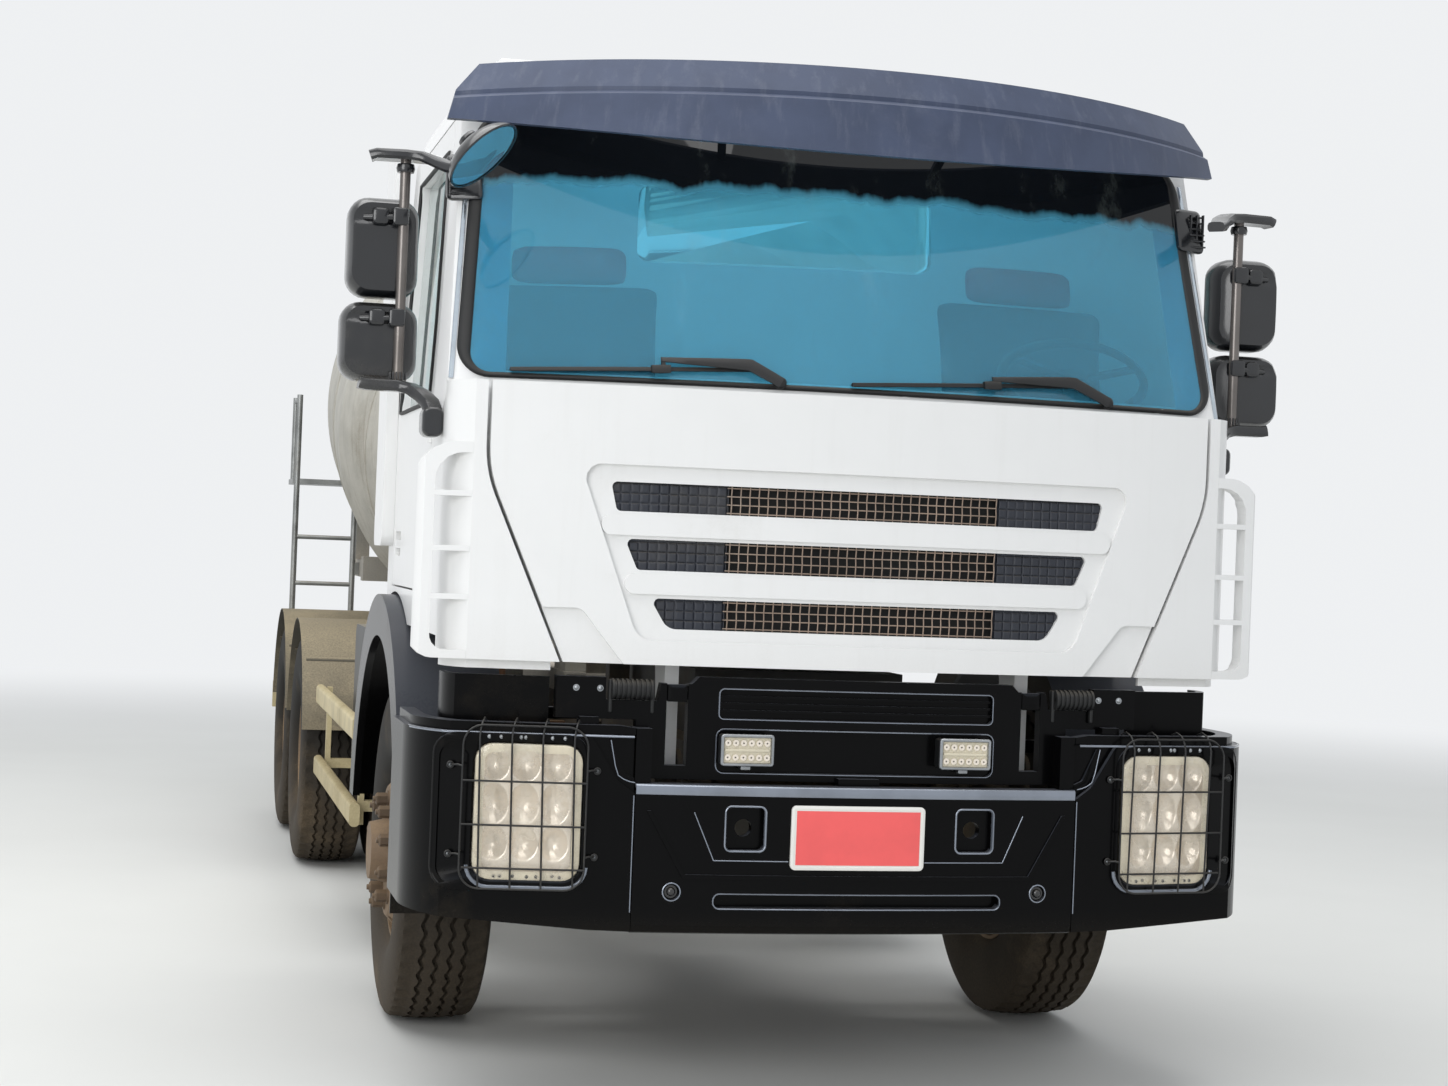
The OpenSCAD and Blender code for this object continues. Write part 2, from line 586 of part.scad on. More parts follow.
// Flat-topped guards over the rear twin wheels
guard_gap = 80;
guard_tube_z = rail_top - 25;
guard_tube_y = sqrt(pow(tyre_r + guard_gap - 4, 2) - pow(guard_tube_z - axle_z, 2)) - 8;
guard_x0 = rear_x - twin_pitch / 2 - tyre_w / 2 - 10;
guard_x1 = rear_x + twin_pitch / 2 + tyre_w / 2 + 10;
module rear_mudguards() color("#4b4a48") placed() both_sides() {
    side_cut(guard_x0, guard_x1) for (y = [axle_1_y, axle_2_y]) intersection() {
        translate([y, axle_z]) difference() { circle(tyre_r + guard_gap); circle(tyre_r + guard_gap - 4); }
        translate([y - 640, axle_z + 130]) square([1280, 600]);
    }
    // Tubes from the frame's side that the guards are clamped on
    for (y = [axle_1_y, axle_2_y], s = [-1, 1])
        bar_x(rail_half + seat_gap, guard_x1 - 20, y + s * guard_tube_y, guard_tube_z, 16);
}

// Side guards between the wheels, and the rear bar under the chute
tail_y = rail_back + 110;
bar_z0 = 530;
module side_guards() color("#cfc5a6") placed() {
    both_sides() {
        for (z = [470, 790]) front_cut(1180, wheelbase - tyre_r - 130) round_rect([1150, z], [1190, z + 90], 18);
        for (y = [1250, 2950]) {
            box([1130, y, 470], [1150 + 1, y + 50, 880]);
            box([rail_half + seat_gap, y, 520], [1131, y + 50, 560]);
            box([rail_half + seat_gap, y, 520], [rail_half + 40, y + 50, rail_bottom + 60]);
        }
    }
    // Rear bar
    box([-1200, tail_y, bar_z0], [1200, tail_y + 60, bar_z0 + 150]);
    both_sides() box([rail_half - 60, rail_back - 100, bar_z0], [rail_half - 10, tail_y + 5, rail_bottom - seat_gap]);
}

// Subframe of the mixer on the frame's rails
module subframe() color("#8d8c86") placed() {
    both_sides() difference() {
        box([rail_half - rail_flange, 1000, rail_top + seat_gap], [rail_half, rail_back, subframe_top]);
        box([rail_half - rail_flange - 1, 1000 - 1, rail_top + 8], [rail_half - 8, rail_back + 1, subframe_top - 8]);
    }
    for (y = [1005, 2100, rail_back - 90])
        box([-rail_half + 20, y, rail_top + 6], [rail_half - 20, y + 80, subframe_top - 6]);
}

// The drum's own axis: its origin at the widest section, its Z along the axis to the mouth
module along_drum() translate([0, drum_y, drum_z]) rotate([-90 + drum_tilt, 0, 0]) children();
// Stations along the drum's axis: front head, front cone, middle, rear cone, mouth
head_s = -2400;
front_s = -2200;
front_cone_r = 600;
mid_s0 = -350;
mid_s1 = 550;
mouth_s = 2350;
ring_s = 1330;
ring_w = 90;
function cone_r(s) = drum_r - (s - mid_s1) / (mouth_s - mid_s1) * (drum_r - mouth_r);

// Front pedestal with the drum's gearbox and its motor
gearbox_s0 = -2880;
pedestal_z1 = 1830;
module front_pedestal() color("#9a9890") placed() {
    difference() {
        union() {
            side_cut(-rail_half, -rail_half + 12) pedestal_side();
            side_cut(rail_half - 12, rail_half) pedestal_side();
            box([-rail_half + 1, 2000, subframe_top + seat_gap], [rail_half - 1, 2016, pedestal_z1]);
            box([-rail_half + 1, 2001, subframe_top + seat_gap], [rail_half - 1, 2330, subframe_top + 12]);
        }
        along_drum() translate([0, 0, -3200]) cylinder(h = 800, r = 150);
    }
    along_drum() {
        translate([0, 0, gearbox_s0]) cylinder(h = head_s - 120 - gearbox_s0, r = 140);
        translate([0, 0, head_s - 330]) cylinder(h = 320 - seat_gap, r = 240);
        translate([0, 0, gearbox_s0 - 160]) cylinder(h = 161, r = 80);
    }
}
module pedestal_side() polygon([[2000, subframe_top + seat_gap], [2400, subframe_top + seat_gap],
    [2130, pedestal_z1], [2000, pedestal_z1]]);

// Rear pedestal: cross-beam with the roller bearings, posts and the arch for the hopper
roller_dist = ring_r + roller_r + seat_gap / 2;
roller_w = 110;
roller_pin_r = 22;
beam_y = 6110;
beam_top = 1440;
post_x = 700;
post_y = 6640;
arch_top = 3340;
module rear_pedestal() color("#9a9890") placed() {
    difference() {
        union() {
            both_sides() {
                box([rail_half - 90, beam_y, subframe_top + seat_gap], [rail_half, beam_y + 140, beam_top - 139]);
                // Bearing plates of a roller
                for (s = [-1, 1]) roller_frame() translate([0, 0, s * (roller_w / 2 + 18)]) {
                    translate([0, 0, -9]) cylinder(h = 18, r = 60);
                    translate([-60, 0, -9]) cube([120, 320, 18]);
                }
                box([post_x - 40, beam_y + 139, beam_top - 120], [post_x + 40, post_y + 80, beam_top - 20]);
                box([post_x - 40, post_y, beam_top - 120], [post_x + 40, post_y + 80, arch_top]);
            }
            box([-post_x - 40, beam_y, beam_top - 140], [post_x + 40, beam_y + 140, beam_top]);
            box([-post_x, post_y, arch_top - 70], [post_x, post_y + 80, arch_top]);
        }
        box([-900, 5800, 0], [900, 7000, subframe_top + seat_gap]);
    }
    both_sides() roller_frame() translate([0, 0, -roller_w / 2 - 27]) cylinder(h = roller_w + 54, r = roller_pin_r);
}
// Middle of the left roller, its Z along the roller's axis, its Y away from the drum
module roller_frame() along_drum() translate([roller_dist * sin(roller_angle), roller_dist * cos(roller_angle), ring_s])
    children();
module roller() difference() {
    cylinder(h = roller_w, r = roller_r, center = true);
    cylinder(h = roller_w + 2, r = roller_pin_r + pin_fit, center = true);
}
module roller_left() color("#77726a") placed() roller_frame() roller();
module roller_right() color("#77726a") placed() mirror([1, 0, 0]) roller_frame() roller();

// The drum: shell, track ring and mouth rim
module drum() color("#b4b2ab") placed() along_drum() {
    rotate_extrude() polygon([[0, head_s], [260, head_s + 12], [470, head_s + 85], [front_cone_r, front_s], [drum_r, mid_s0],
        [drum_r, mid_s1], [mouth_r, mouth_s], [mouth_r - drum_t, mouth_s], [drum_r - drum_t, mid_s1],
        [drum_r - drum_t, mid_s0], [front_cone_r - drum_t, front_s + drum_t / 2], [465, head_s + 98],
        [258, head_s + 22], [0, head_s + 10]]);
    // Track ring and mouth rim
    translate([0, 0, ring_s - ring_w / 2]) difference() {
        cylinder(h = ring_w, r = ring_r);
        translate([0, 0, -1]) cylinder(h = ring_w + 2, r = cone_r(ring_s) - drum_t / 2 - 3);
    }
    translate([0, 0, mouth_s - 22]) difference() {
        cylinder(h = 22, r = mouth_r + 14);
        translate([0, 0, -1]) cylinder(h = 24, r = mouth_r - drum_t + 1);
    }
    translate([0, 0, head_s - 10]) cylinder(h = 20, r = 200);
}

// Loading hopper over the mouth, and the collector below it
hopper_half = 500;
hopper_y0 = 6760;
hopper_y1 = 7460;
collector_half = 570;
collector_y0 = 6930;
collector_y1 = 7530;
collector_z1 = 2560;
hopper_rim = 15;
module hopper_loft(t) {
    hull() {
        box([-hopper_half + t, hopper_y0 + t, hopper_z - 1], [hopper_half - t, hopper_y1 - t, hopper_z + t]);
        box([-240 + t, 6960 + t, 3140], [240 - t, 7290 - t, 3141]);
    }
    hull() {
        box([-240 + t, 6960 + t, 3140], [240 - t, 7290 - t, 3141]);
        box([-190 + t, 6800 - t, 2660 + t], [190 - t, 6801 - t, 2900 - t]);
    }
}
collector_z0 = 1935;
module collector_loft(t) hull() {
    box([-collector_half + t, collector_y0 + t, collector_z1], [collector_half - t, collector_y1 - t, collector_z1 + t + 1]);
    box([-200 + t, swing_y - 110 + t, collector_z0 - t], [200 - t, swing_y + 110 - t, collector_z0 - t + 1]);
}
module hopper() color("#a5a39b") placed() {
    difference() { hopper_loft(0); hopper_loft(sheet_t); }
    both_sides() {
        // Stiffened rim, held by a plate on the arch
        box([hopper_half - 1, hopper_y0 - 10, hopper_z - 60], [hopper_half + hopper_rim, hopper_y1 + 10, hopper_z]);
        side_cut(hopper_half - 1, hopper_half + hopper_rim) polygon([[post_y, arch_top + seat_gap], [post_y + 80, arch_top + seat_gap],
            [6860, hopper_z - 60], [6860, hopper_z], [6740, hopper_z], [post_y, arch_top + 40]]);
        box([470, post_y, arch_top + seat_gap], [545, post_y + 80, arch_top + 14]);
        // Arms of the collector
        box([post_x - 60, post_y + 80 + seat_gap, 2440], [post_x - 20, 7130, 2500]);
        box([511, 7070, 2440], [post_x - 20, 7130, 2500]);
    }
    difference() {
        collector_loft(0);
        collector_loft(sheet_t);
        along_drum() translate([0, 0, 1700]) cylinder(h = mouth_s + 30 - 1700, r = mouth_r + 44);
    }
}

// Ladder to the platform beside the hopper, at the right rear
module ladder() color("#8f918f") placed() {
    for (x = [-1120, -780]) {
        bar_z(x, 6380, 930, 2370, 17);
        bar_z(x, 6760, 1870, 2370, 17);
        bar_y(6380, 6760, x, 2345, 12);
    }
    for (z = [1000:270:1600]) bar_x(-1120, -780, 6380, z, 13);
    box([-1145, 6370, 1850], [-755, 6785, 1880]);
    box([-760, 6660, 1856], [-post_x - 40 - seat_gap, 6700, 1874]);
    box([-785, 6368, 1330], [-post_x - 40 - seat_gap, 6392, 1400]);
}
module bar_z(x, y, z0, z1, r) translate([x, y, z0]) cylinder(h = z1 - z0, r = r);

// The cab's outer form, drawn in by a distance all round
cab_front = -1345;
screen_r = 4000;
belt_z = 1950;
roof_in = 45;
module cab_form(t) intersection() {
    side_cut(-cab_half - 10, cab_half + 10) polygon([[cab_front - 400, floor_z + t], [cab_back - t, floor_z + t],
        [cab_back - t, roof_z - 60 - t], [cab_back - 60 - t, roof_z - t], [-500, roof_z + 40 - t], [-900, roof_z + 10 - t],
        [-1130, screen_z1 + 60 - t], [cab_front - 400, screen_z1 + 60 - t]]);
    front_cut(cab_front - 400, cab_back + 10) union() {
        polygon([[-cab_half + t, floor_z + t], [cab_half - t, floor_z + t], [cab_half - t, belt_z],
            [cab_half - roof_in - t, roof_z - 150], [cab_half - roof_in - 30 - t, roof_z - 60 - t / 2],
            [cab_half - roof_in - 110 - t, roof_z + 10 - t], [cab_half - roof_in - 300, roof_z + 40 - t],
            [-cab_half + roof_in + 300, roof_z + 40 - t], [-cab_half + roof_in + 110 + t, roof_z + 10 - t],
            [-cab_half + roof_in + 30 + t, roof_z - 60 - t / 2], [-cab_half + roof_in + t, roof_z - 150],
            [-cab_half + t, belt_z]]);
    }
    translate([0, cab_front + screen_r + t, 0]) {
        cylinder(h = screen_z0 - 40, r = screen_r, $fn = wide_fn);
        translate([0, 0, screen_z0 - 40]) cylinder(h = 1100, r1 = screen_r, r2 = screen_r - 1100 * tan(screen_lean), $fn = wide_fn);
    }
    linear_extrude(4000) round_rect([-cab_half + t, cab_front - 100], [cab_half - t, cab_back + 400], 190);
}
module cab_wall() difference() { cab_form(0); cab_form(cab_t); }

// Outlines of the cab's openings
module screen_outline(grow) polygon([[-1010 - grow, screen_z0 - grow], [1010 + grow, screen_z0 - grow],
    [975 + grow, screen_z1 + grow], [-975 - grow, screen_z1 + grow]]);
module door_outline(grow) polygon([[door_front - grow, door_z0 - grow], [door_back + grow, door_z0 - grow],
    [door_back + grow, door_z1 + grow], [door_front + 70 - grow / 2, door_z1 + grow],
    [door_front - grow, belt_z + 150]]);
module door_window(grow) polygon([[door_front + 75 - grow, belt_z + 20 - grow], [door_back - 90 + grow, belt_z + 20 - grow],
    [door_back - 90 + grow, door_z1 - 90 + grow], [door_front + 150 - grow, door_z1 - 90 + grow],
    [door_front + 75 - grow, belt_z + 240]]);
module rear_window_outline(grow) round_rect([-390 - grow, 2220 - grow], [390 + grow, 2480 + grow], 40);

module cab_shell() color("#f1f1ee") placed() {
    difference() {
        union() {
            cab_wall();
            // Flat pads that the wipers stand on
            for (x = wiper_x) bar_y(wiper_foot_y(x) + seat_gap, wiper_foot_y(x) + 20, x, wiper_z, 20);
        }
        front_cut(cab_front - 400, -900) screen_outline(0);
        front_cut(cab_back - 200, cab_back + 100) rear_window_outline(0);
        side_cut(-2000, 2000) door_outline(shut_gap);
        both_sides() hinge_room();
        // Room over the front wheels
        both_sides() side_cut(arch_x0 - 15, 2000) translate([0, axle_z]) circle(arch_out + 10);
    }
    both_sides() cab_hinges();
    flap_ears();
    // Hinge arms
    both_sides() difference() {
        side_cut(hinge_x - hinge_arm_t / 2, hinge_x + hinge_arm_t / 2) {
            translate([cab_pivot_y, cab_pivot_z]) circle(42);
            polygon([[cab_pivot_y - 42, cab_pivot_z], [cab_pivot_y + 42, cab_pivot_z],
                [cab_pivot_y + 110, floor_z + 20], [cab_pivot_y - 42, floor_z + 20]]);
        }
        bar_x(0, 1000, cab_pivot_y, cab_pivot_z, cab_pivot_r + pin_fit);
    }
}

// Door hinges: two knuckles on the cab hold the pin, one on the door turns on it
hinge_z = [1480, 1840];
knuckle_h = 30;
knuckle_r = 12;
door_pin_r = 6;
module hinge_room() for (z = hinge_z) bar_z(cab_half, door_front, z - 2, z + 3 * knuckle_h + 2, knuckle_r + 2);
module hinge_leaf(z, side) difference() {
    union() {
        bar_z(cab_half, door_front, z, z + knuckle_h, knuckle_r);
        box([cab_half - 11, door_front + min(0, side * 24), z],
            [cab_half - 3, door_front + max(0, side * 24), z + knuckle_h]);
    }
    bar_z(cab_half, door_front, z - 1, z + knuckle_h + 1, door_pin_r + pin_fit);
}
module cab_hinges() for (z = hinge_z) {
    for (i = [0, 2]) hinge_leaf(z + i * knuckle_h, -1);
    bar_z(cab_half, door_front, z, z + 3 * knuckle_h, door_pin_r);
}

// Plan of the white skin in front of the cab: the flap and the corner panels
skin_half = 1172;
skin_front = -1412;
skin_corner = 170;
skin_drop = 60;
skin_back = -1160;
// Open deflector outside each corner panel: its reach, height, band and fins
loop_half = 1250;
loop_corner = 60;
loop_drop = 100;
loop_back = -1240;
loop_t = 50;
loop_z1 = 1830;
loop_band = 44;
loop_x0 = 1106;
fin_z = [1404, 1537, 1688];
fin_t = 15;
// Flap hinges: ears on the cab reach into pockets behind the flap's upper edge
flap_axis_y = skin_front + 29;
flap_axis_z = flap_z1 - 14;
flap_ear_x = 300;
flap_ear_t = 30;
flap_ear_r = 11;
flap_pin_r = 5;
module flap_ears() both_sides() difference() {
    union() {
        bar_x(flap_ear_x, flap_ear_x + flap_ear_t, flap_axis_y, flap_axis_z, flap_ear_r);
        box([flap_ear_x, flap_axis_y, flap_axis_z - 8], [flap_ear_x + flap_ear_t, cab_front + 30, flap_axis_z + 8]);
    }
    bar_x(flap_ear_x - 1, flap_ear_x + flap_ear_t + 1, flap_axis_y, flap_axis_z, flap_pin_r + pin_fit);
}
module flap_pockets() both_sides()
    box([flap_ear_x - 7, flap_axis_y - flap_ear_r - 2, flap_axis_z - flap_ear_r - 3], [flap_ear_x + flap_ear_t + 7, 0, 3000]);

// Glass of the windscreen and of the rear window
module cab_glass() color("#7fc4c9") placed() {
    intersection() {
        difference() { cab_form(14); cab_form(14 + glass_t); }
        front_cut(cab_front - 400, -900) screen_outline(-seat_gap);
    }
    intersection() {
        box([-600, cab_back - 14 - glass_t, 2000], [600, cab_back - 14, 2600]);
        front_cut(cab_back - 200, cab_back + 100) rear_window_outline(-seat_gap);
    }
}

// White panels fixed to the cab: the front corners with their fins, the deflectors behind the doors
module skin(depth, t) nose_wall(skin_half - depth, skin_front + depth, skin_corner, skin_back, t,
    flap_z0, flap_z1, skin_drop);
flap_edge_r = 350;
flap_edge_z = 1753;
module flap_outline(grow) both_sides() polygon(rounded([[-10, flap_z0 - 50, 0], [flap_low_half + grow, flap_z0 - 50, 0],
    [flap_low_half + grow, flap_z0, 0], [flap_top_half + grow, flap_edge_z, flap_edge_r],
    [flap_top_half + grow, flap_z1 + 50, 0], [-10, flap_z1 + 50, 0]]));
// Front view of a deflector: a band with round corners, and the fins across it
module loop_outline() {
    difference() {
        polygon(rounded([[loop_x0, flap_z0, 0], [loop_half + 10, flap_z0, 60], [loop_half + 10, loop_z1, 110],
            [loop_x0, loop_z1, 0]]));
        polygon(rounded([[loop_x0 - 9, flap_z0 + 23, 0], [loop_half - loop_band, flap_z0 + 23, 40],
            [loop_half - loop_band, loop_z1 - 30, 75], [loop_x0 - 9, loop_z1 - 30, 0]]));
    }
    for (z = fin_z) translate([loop_x0, z - fin_t / 2]) square([loop_half - loop_band - loop_x0 + 2, fin_t]);
}
module cab_side_panels() color("#f4f4f1") placed() {
    both_sides() difference() {
        union() {
            difference() {
                intersection() {
                    skin(0, skin_t);
                    box([0, -2000, 0], [2000, 0, 3000]);
                }
                front_cut(-2000, -700) flap_outline(0);
            }
            intersection() {
                nose_wall(loop_half, skin_front, loop_corner, loop_back, loop_t, flap_z0, flap_z1, loop_drop);
                front_cut(-2000, -700) loop_outline();
            }
            // Set-back strip under the panel
            intersection() {
                nose_wall(skin_half - 10, skin_front + 30, skin_corner - 10, skin_back, 16,
                    flap_z0 - 25, flap_z0 + 1, skin_drop);
                box([flap_low_half + 20, -2000, 0], [skin_half - 10, 0, 3000]);
            }
        }
        // Seat on the cab's front corner
        cab_form(-seat_gap);
    }
    // Deflector behind the door
    both_sides() side_cut(cab_half + seat_gap, cab_half + 40)
        round_rect([door_back + 14, 1530], [cab_back + 120, 2850], 40);
}

// Stepped visor over the windscreen, its lower edge rising to the ends
visor_sweep_r = 7670;
module sun_visor() color("#3b3e45") placed() {
    intersection() {
        translate([0, -front_overhang + visor_r, 0]) rotate([0, 0, 180]) rotate_extrude($fn = wide_fn)
            polygon([[visor_r - 120, visor_groove_z + 85], [visor_r - 100, visor_groove_z + 92],
                [visor_r - 55, visor_groove_z + 8], [visor_r - 55, visor_groove_z - 4],
                [visor_r - 35, visor_groove_z - 16], [visor_r, visor_groove_z - 166],
                [visor_r - 22, visor_groove_z - 170], [visor_r - 58, visor_groove_z - 20],
                [visor_r - 78, visor_groove_z], [visor_r - 122, visor_groove_z + 74]]);
        front_cut(-2000, -1000) intersection() {
            both_sides() polygon([[-10, 2500], [1178, 2500], [1178, 2765], [1153, 2862], [1088, 3015], [1060, 3100],
                [-10, 3100]]);
            translate([0, visor_groove_z - 166 + visor_sweep_r]) circle(visor_sweep_r, $fn = wide_fn);
        }
    }
    // Struts to the cab
    both_sides() for (x = [380, 900])
        intersection() {
            box([x - 14, -1500, visor_groove_z + 60], [x + 14, -900, visor_groove_z + 76]);
            difference() {
                translate([0, -front_overhang + visor_r, 0]) cylinder(h = 4000, r = visor_r - 110, $fn = wide_fn);
                cab_form(-seat_gap);
            }
        }
}

// Wipers lying on the lower edge of the windscreen; the arms' feet stand on the panel under it
wiper_len = 680;
wiper_r = 7;
wiper_z = 2036;
function screen_y(x, z) = cab_front + screen_r
    - sqrt(pow(screen_r - max(0, z - screen_z0 + 40) * tan(screen_lean), 2) - x * x);
wiper_x = [120, 940];
function wiper_foot_y(x) = screen_y(x, wiper_z - 20) - 3;
module wipers() color("#0e0f10") placed() for (x = wiper_x) {
    // The blade is a chord of the screen's curve, so it stands off by the arc's height
    off = wiper_len * wiper_len / 8 / screen_r + wiper_r + 1;
    foot_y = wiper_foot_y(x);
    bar_y(foot_y - 16, foot_y, x, wiper_z, 15);
    arm([x, foot_y - 8, wiper_z], [x - wiper_len, screen_y(x - wiper_len, wiper_z + 20) - off, wiper_z + 20], wiper_r);
}

// Seats, each with a base, a cushion and a back
seat_x = 610;
module seats() color("#3c3f45") placed() both_sides() {
    box([seat_x - 200, -520, floor_z + cab_t + seat_gap], [seat_x + 200, -100, 1600]);
    translate([seat_x, 0, 0]) side_cut(-250, 250) {
        round_rect([-600, 1599], [-70, 1740], 50);
        translate([-120, 1600]) rotate([0, 0, 80]) translate([0, -60]) round_rect([0, 0], [700, 130], 50);
    }
}

// Dashboard across the cab, with the column of the steering wheel
wheel_x = 700;
wheel_y = -800;
wheel_z = 2040;
column_lean = 38;
module dashboard() color("#2d2f33") placed() {
    intersection() {
        side_cut(-cab_half, cab_half) polygon([[-1500, 1420], [-1130, 1420], [-940, 1700], [-960, 1930], [-1100, 1990], [-1500, 1990]]);
        cab_form(cab_t + seat_gap);
    }
    translate([wheel_x, wheel_y, wheel_z]) rotate([-column_lean, 0, 0]) translate([0, 0, -330]) cylinder(h = 300, r = 40);
}
module steering_wheel() color("#1c1d1f") placed() translate([wheel_x, wheel_y, wheel_z]) rotate([-column_lean, 0, 0]) {
    rotate_extrude() translate([225, 0]) circle(15);
    translate([0, 0, -29]) cylinder(h = 34, r = 55);
    for (a = [90, 210, 330]) rotate([0, 0, a]) translate([40, -14, -12]) cube([175, 28, 12]);
}

// Door mirrors on their tubes, and the round front mirror at the right corner post
mirror_y = -920;
mirror_x0 = 1238;
mirror_x1 = 1455;
module mirrors() color("#15171a") placed() {
    both_sides() {
        for (m = [[2245, 285, mirror_x0, mirror_x1 - 12], [2005, 225, mirror_x0 - 6, mirror_x1]])
            intersection() {
                front_cut(mirror_y - 70, mirror_y + 55) round_rect([m[2], m[0]], [m[3], m[0] + m[1]], 40);
                side_cut(mirror_x0 - 20, mirror_x1 + 20)
                    round_rect([mirror_y - 71, m[0] - 8], [mirror_y + 80, m[0] + m[1] + 8], 62);
            }
        bar_z(1290, mirror_y - 78, 2000, 2640, 14);
        for (z = [2090, 2360]) bar_z(1290, mirror_y - 78, z, z + 56, 25);
        box([1250, mirror_y - 98, 2628], [1330, mirror_y - 58, 2650]);
        arm([1290, mirror_y - 78, 2639], [1150, -1150, 2610], 15);
        arm([1290, mirror_y - 78, 2006], [cab_half + 40, -1090, 1950], 17);
        side_cut(cab_half + seat_gap, cab_half + 58) round_rect([-1140, 1850], [-1040, 2000], 18);
        translate([1125, -1185, 2560]) cube([40, 50, 100]);
    }
    translate([-1130, -1400, 2625]) rotate([60, 0, -20]) cylinder(h = 26, r = 90, center = true);
    arm([-1130, -1390, 2625], [-1150, -1170, 2620], 14);
}
// A round arm between two points
module arm(a, b, r) {
    d = b - a;
    translate(a) rotate([0, atan2(norm([d[0], d[1]]), d[2]), atan2(d[1], d[0])]) cylinder(h = norm(d), r = r);
}

// A door as thick as the cab's wall, with its window opening and handle
module door_left() color("#f1f1ee") placed() {
    difference() {
        intersection() {
            cab_wall();
            side_cut(800, 2000) door_outline(0);
        }
        side_cut(800, 2000) door_window(0);
        side_cut(cab_half - 25, 2000) round_rect([door_back - 220, 1500], [door_back - 60, 1580], 20);
        hinge_room();
    }
    for (z = hinge_z) hinge_leaf(z + knuckle_h, 1);
    side_cut(cab_half - 26, cab_half - 2) round_rect([door_back - 210, 1525], [door_back - 58, 1552], 8);
}
module door_right() mirror([1, 0, 0]) door_left();
module door_glass_left() color("#7fc4c9") placed() intersection() {
    difference() { cab_form(26); cab_form(26 + glass_t); }
    side_cut(800, 2000) door_window(-seat_gap);
}
module door_glass_right() mirror([1, 0, 0]) door_glass_left();

// The white flap: a sunk field with three grille slots, and two bars that stand between them
// Each slot: lower and upper edge, half width at both, radius of the lower corners
slot_rows = [[1657, 1738, 708, 727, 14], [1496, 1581, 646, 683, 14], [1335, 1419, 557, 607, 44]];
// Each bar: lower and upper edge, half width
bar_rows = [[1591, 1647, 750], [1430, 1486, 680]];
recess_depth = 14;
bar_depth = 4;
slot_r = 14;
module slot(row, grow) polygon(rounded([[-row[2] - grow, row[0] - grow, row[4]], [row[2] + grow, row[0] - grow, row[4]],
    [row[3] + grow, row[1] + grow, slot_r], [-row[3] - grow, row[1] + grow, slot_r]]));
module flap_layer(depth) intersection() {
    skin(depth, skin_t - depth);
    front_cut(-2000, -700) flap_outline(-flap_gap);
}
// Front view of what is sunk into the flap: the grille's field and the two lower corners
module flap_sunk() {
    polygon(rounded([[-640, 1302, 60], [640, 1302, 60], [815, 1785, 40], [-815, 1785, 40]]));
    both_sides() polygon(rounded([[1000, 1384, 0], [797, 1386, 40], [680, 1240, 0], [640, 1190, 0], [1000, 1190, 0]]));
}
module front_flap() color("#f6f6f4") placed() {
    difference() {
        union() {
            difference() {
                flap_layer(0);
                front_cut(-2000, -700) flap_sunk();
            }
            intersection() {
                flap_layer(recess_depth);
                front_cut(-2000, -700) flap_sunk();
            }
            intersection() {
                flap_layer(bar_depth);
                front_cut(-2000, -700) for (row = bar_rows) round_rect([-row[2], row[0]], [row[2], row[1]], 27);
            }
        }
        for (row = slot_rows) front_cut(-2000, -700) slot(row, 0);
        flap_pockets();
    }
    both_sides() bar_x(flap_ear_x - 9, flap_ear_x + flap_ear_t + 9, flap_axis_y, flap_axis_z, flap_pin_r);
}
module grille_mesh() color("#1b1c1e") placed() for (row = slot_rows) intersection() {
    skin(22, 8);
    front_cut(-2000, -700) intersection() {
        slot(row, -seat_gap);
        union() {
            for (x = [-740:60:740]) translate([x - 4, row[0] - 10]) square([8, 200]);
            for (z = [row[0]:27:row[1]]) translate([-800, z - 4]) square([1600, 8]);
        }
    }
}

// Steering knuckles: forks round the axle's eyes, with the stub axle and the steering arm
steer_arm = 190;
steer_drop = 100;
module knuckle_left() color("#5a4f45") placed() {
    for (z = [axle_z - eye_h / 2 - 70, axle_z + eye_h / 2 + 4]) translate([kingpin_x, 0, z]) {
        cylinder(h = 66, r = eye_r);
        translate([0, -eye_r, 0]) cube([80, 2 * eye_r, 66]);
    }
    translate([kingpin_x, 0, axle_z - eye_h / 2 - 70]) cylinder(h = eye_h + 140, r = kingpin_r);
    box([kingpin_x + eye_r + 5, -eye_r, axle_z - eye_h / 2 - 70], [kingpin_x + 80, eye_r, axle_z + eye_h / 2 + 70]);
    bar_x(kingpin_x + 79, kingpin_x + 290, 0, axle_z, spindle_r - 15);
    box([kingpin_x - 20, 0, axle_z - eye_h / 2 - 70], [kingpin_x + 20, steer_arm, axle_z - eye_h / 2 - 40]);
    translate([kingpin_x, steer_arm, axle_z - eye_h / 2 - 70]) cylinder(h = 30, r = 34);
    translate([kingpin_x, steer_arm, axle_z - eye_h / 2 - 108]) cylinder(h = 60, r = 14);
}
module knuckle_right() mirror([1, 0, 0]) knuckle_left();
module track_rod() color("#5a4f45") placed() difference() {
    union() {
        bar_x(-kingpin_x, kingpin_x, steer_arm, axle_z - eye_h / 2 - 92, 18);
        both_sides() translate([kingpin_x, steer_arm, axle_z - eye_h / 2 - 110]) cylinder(h = 36, r = 32);
    }
    both_sides() translate([kingpin_x, steer_arm, 0]) cylinder(h = 1000, r = 14 + pin_fit);
}

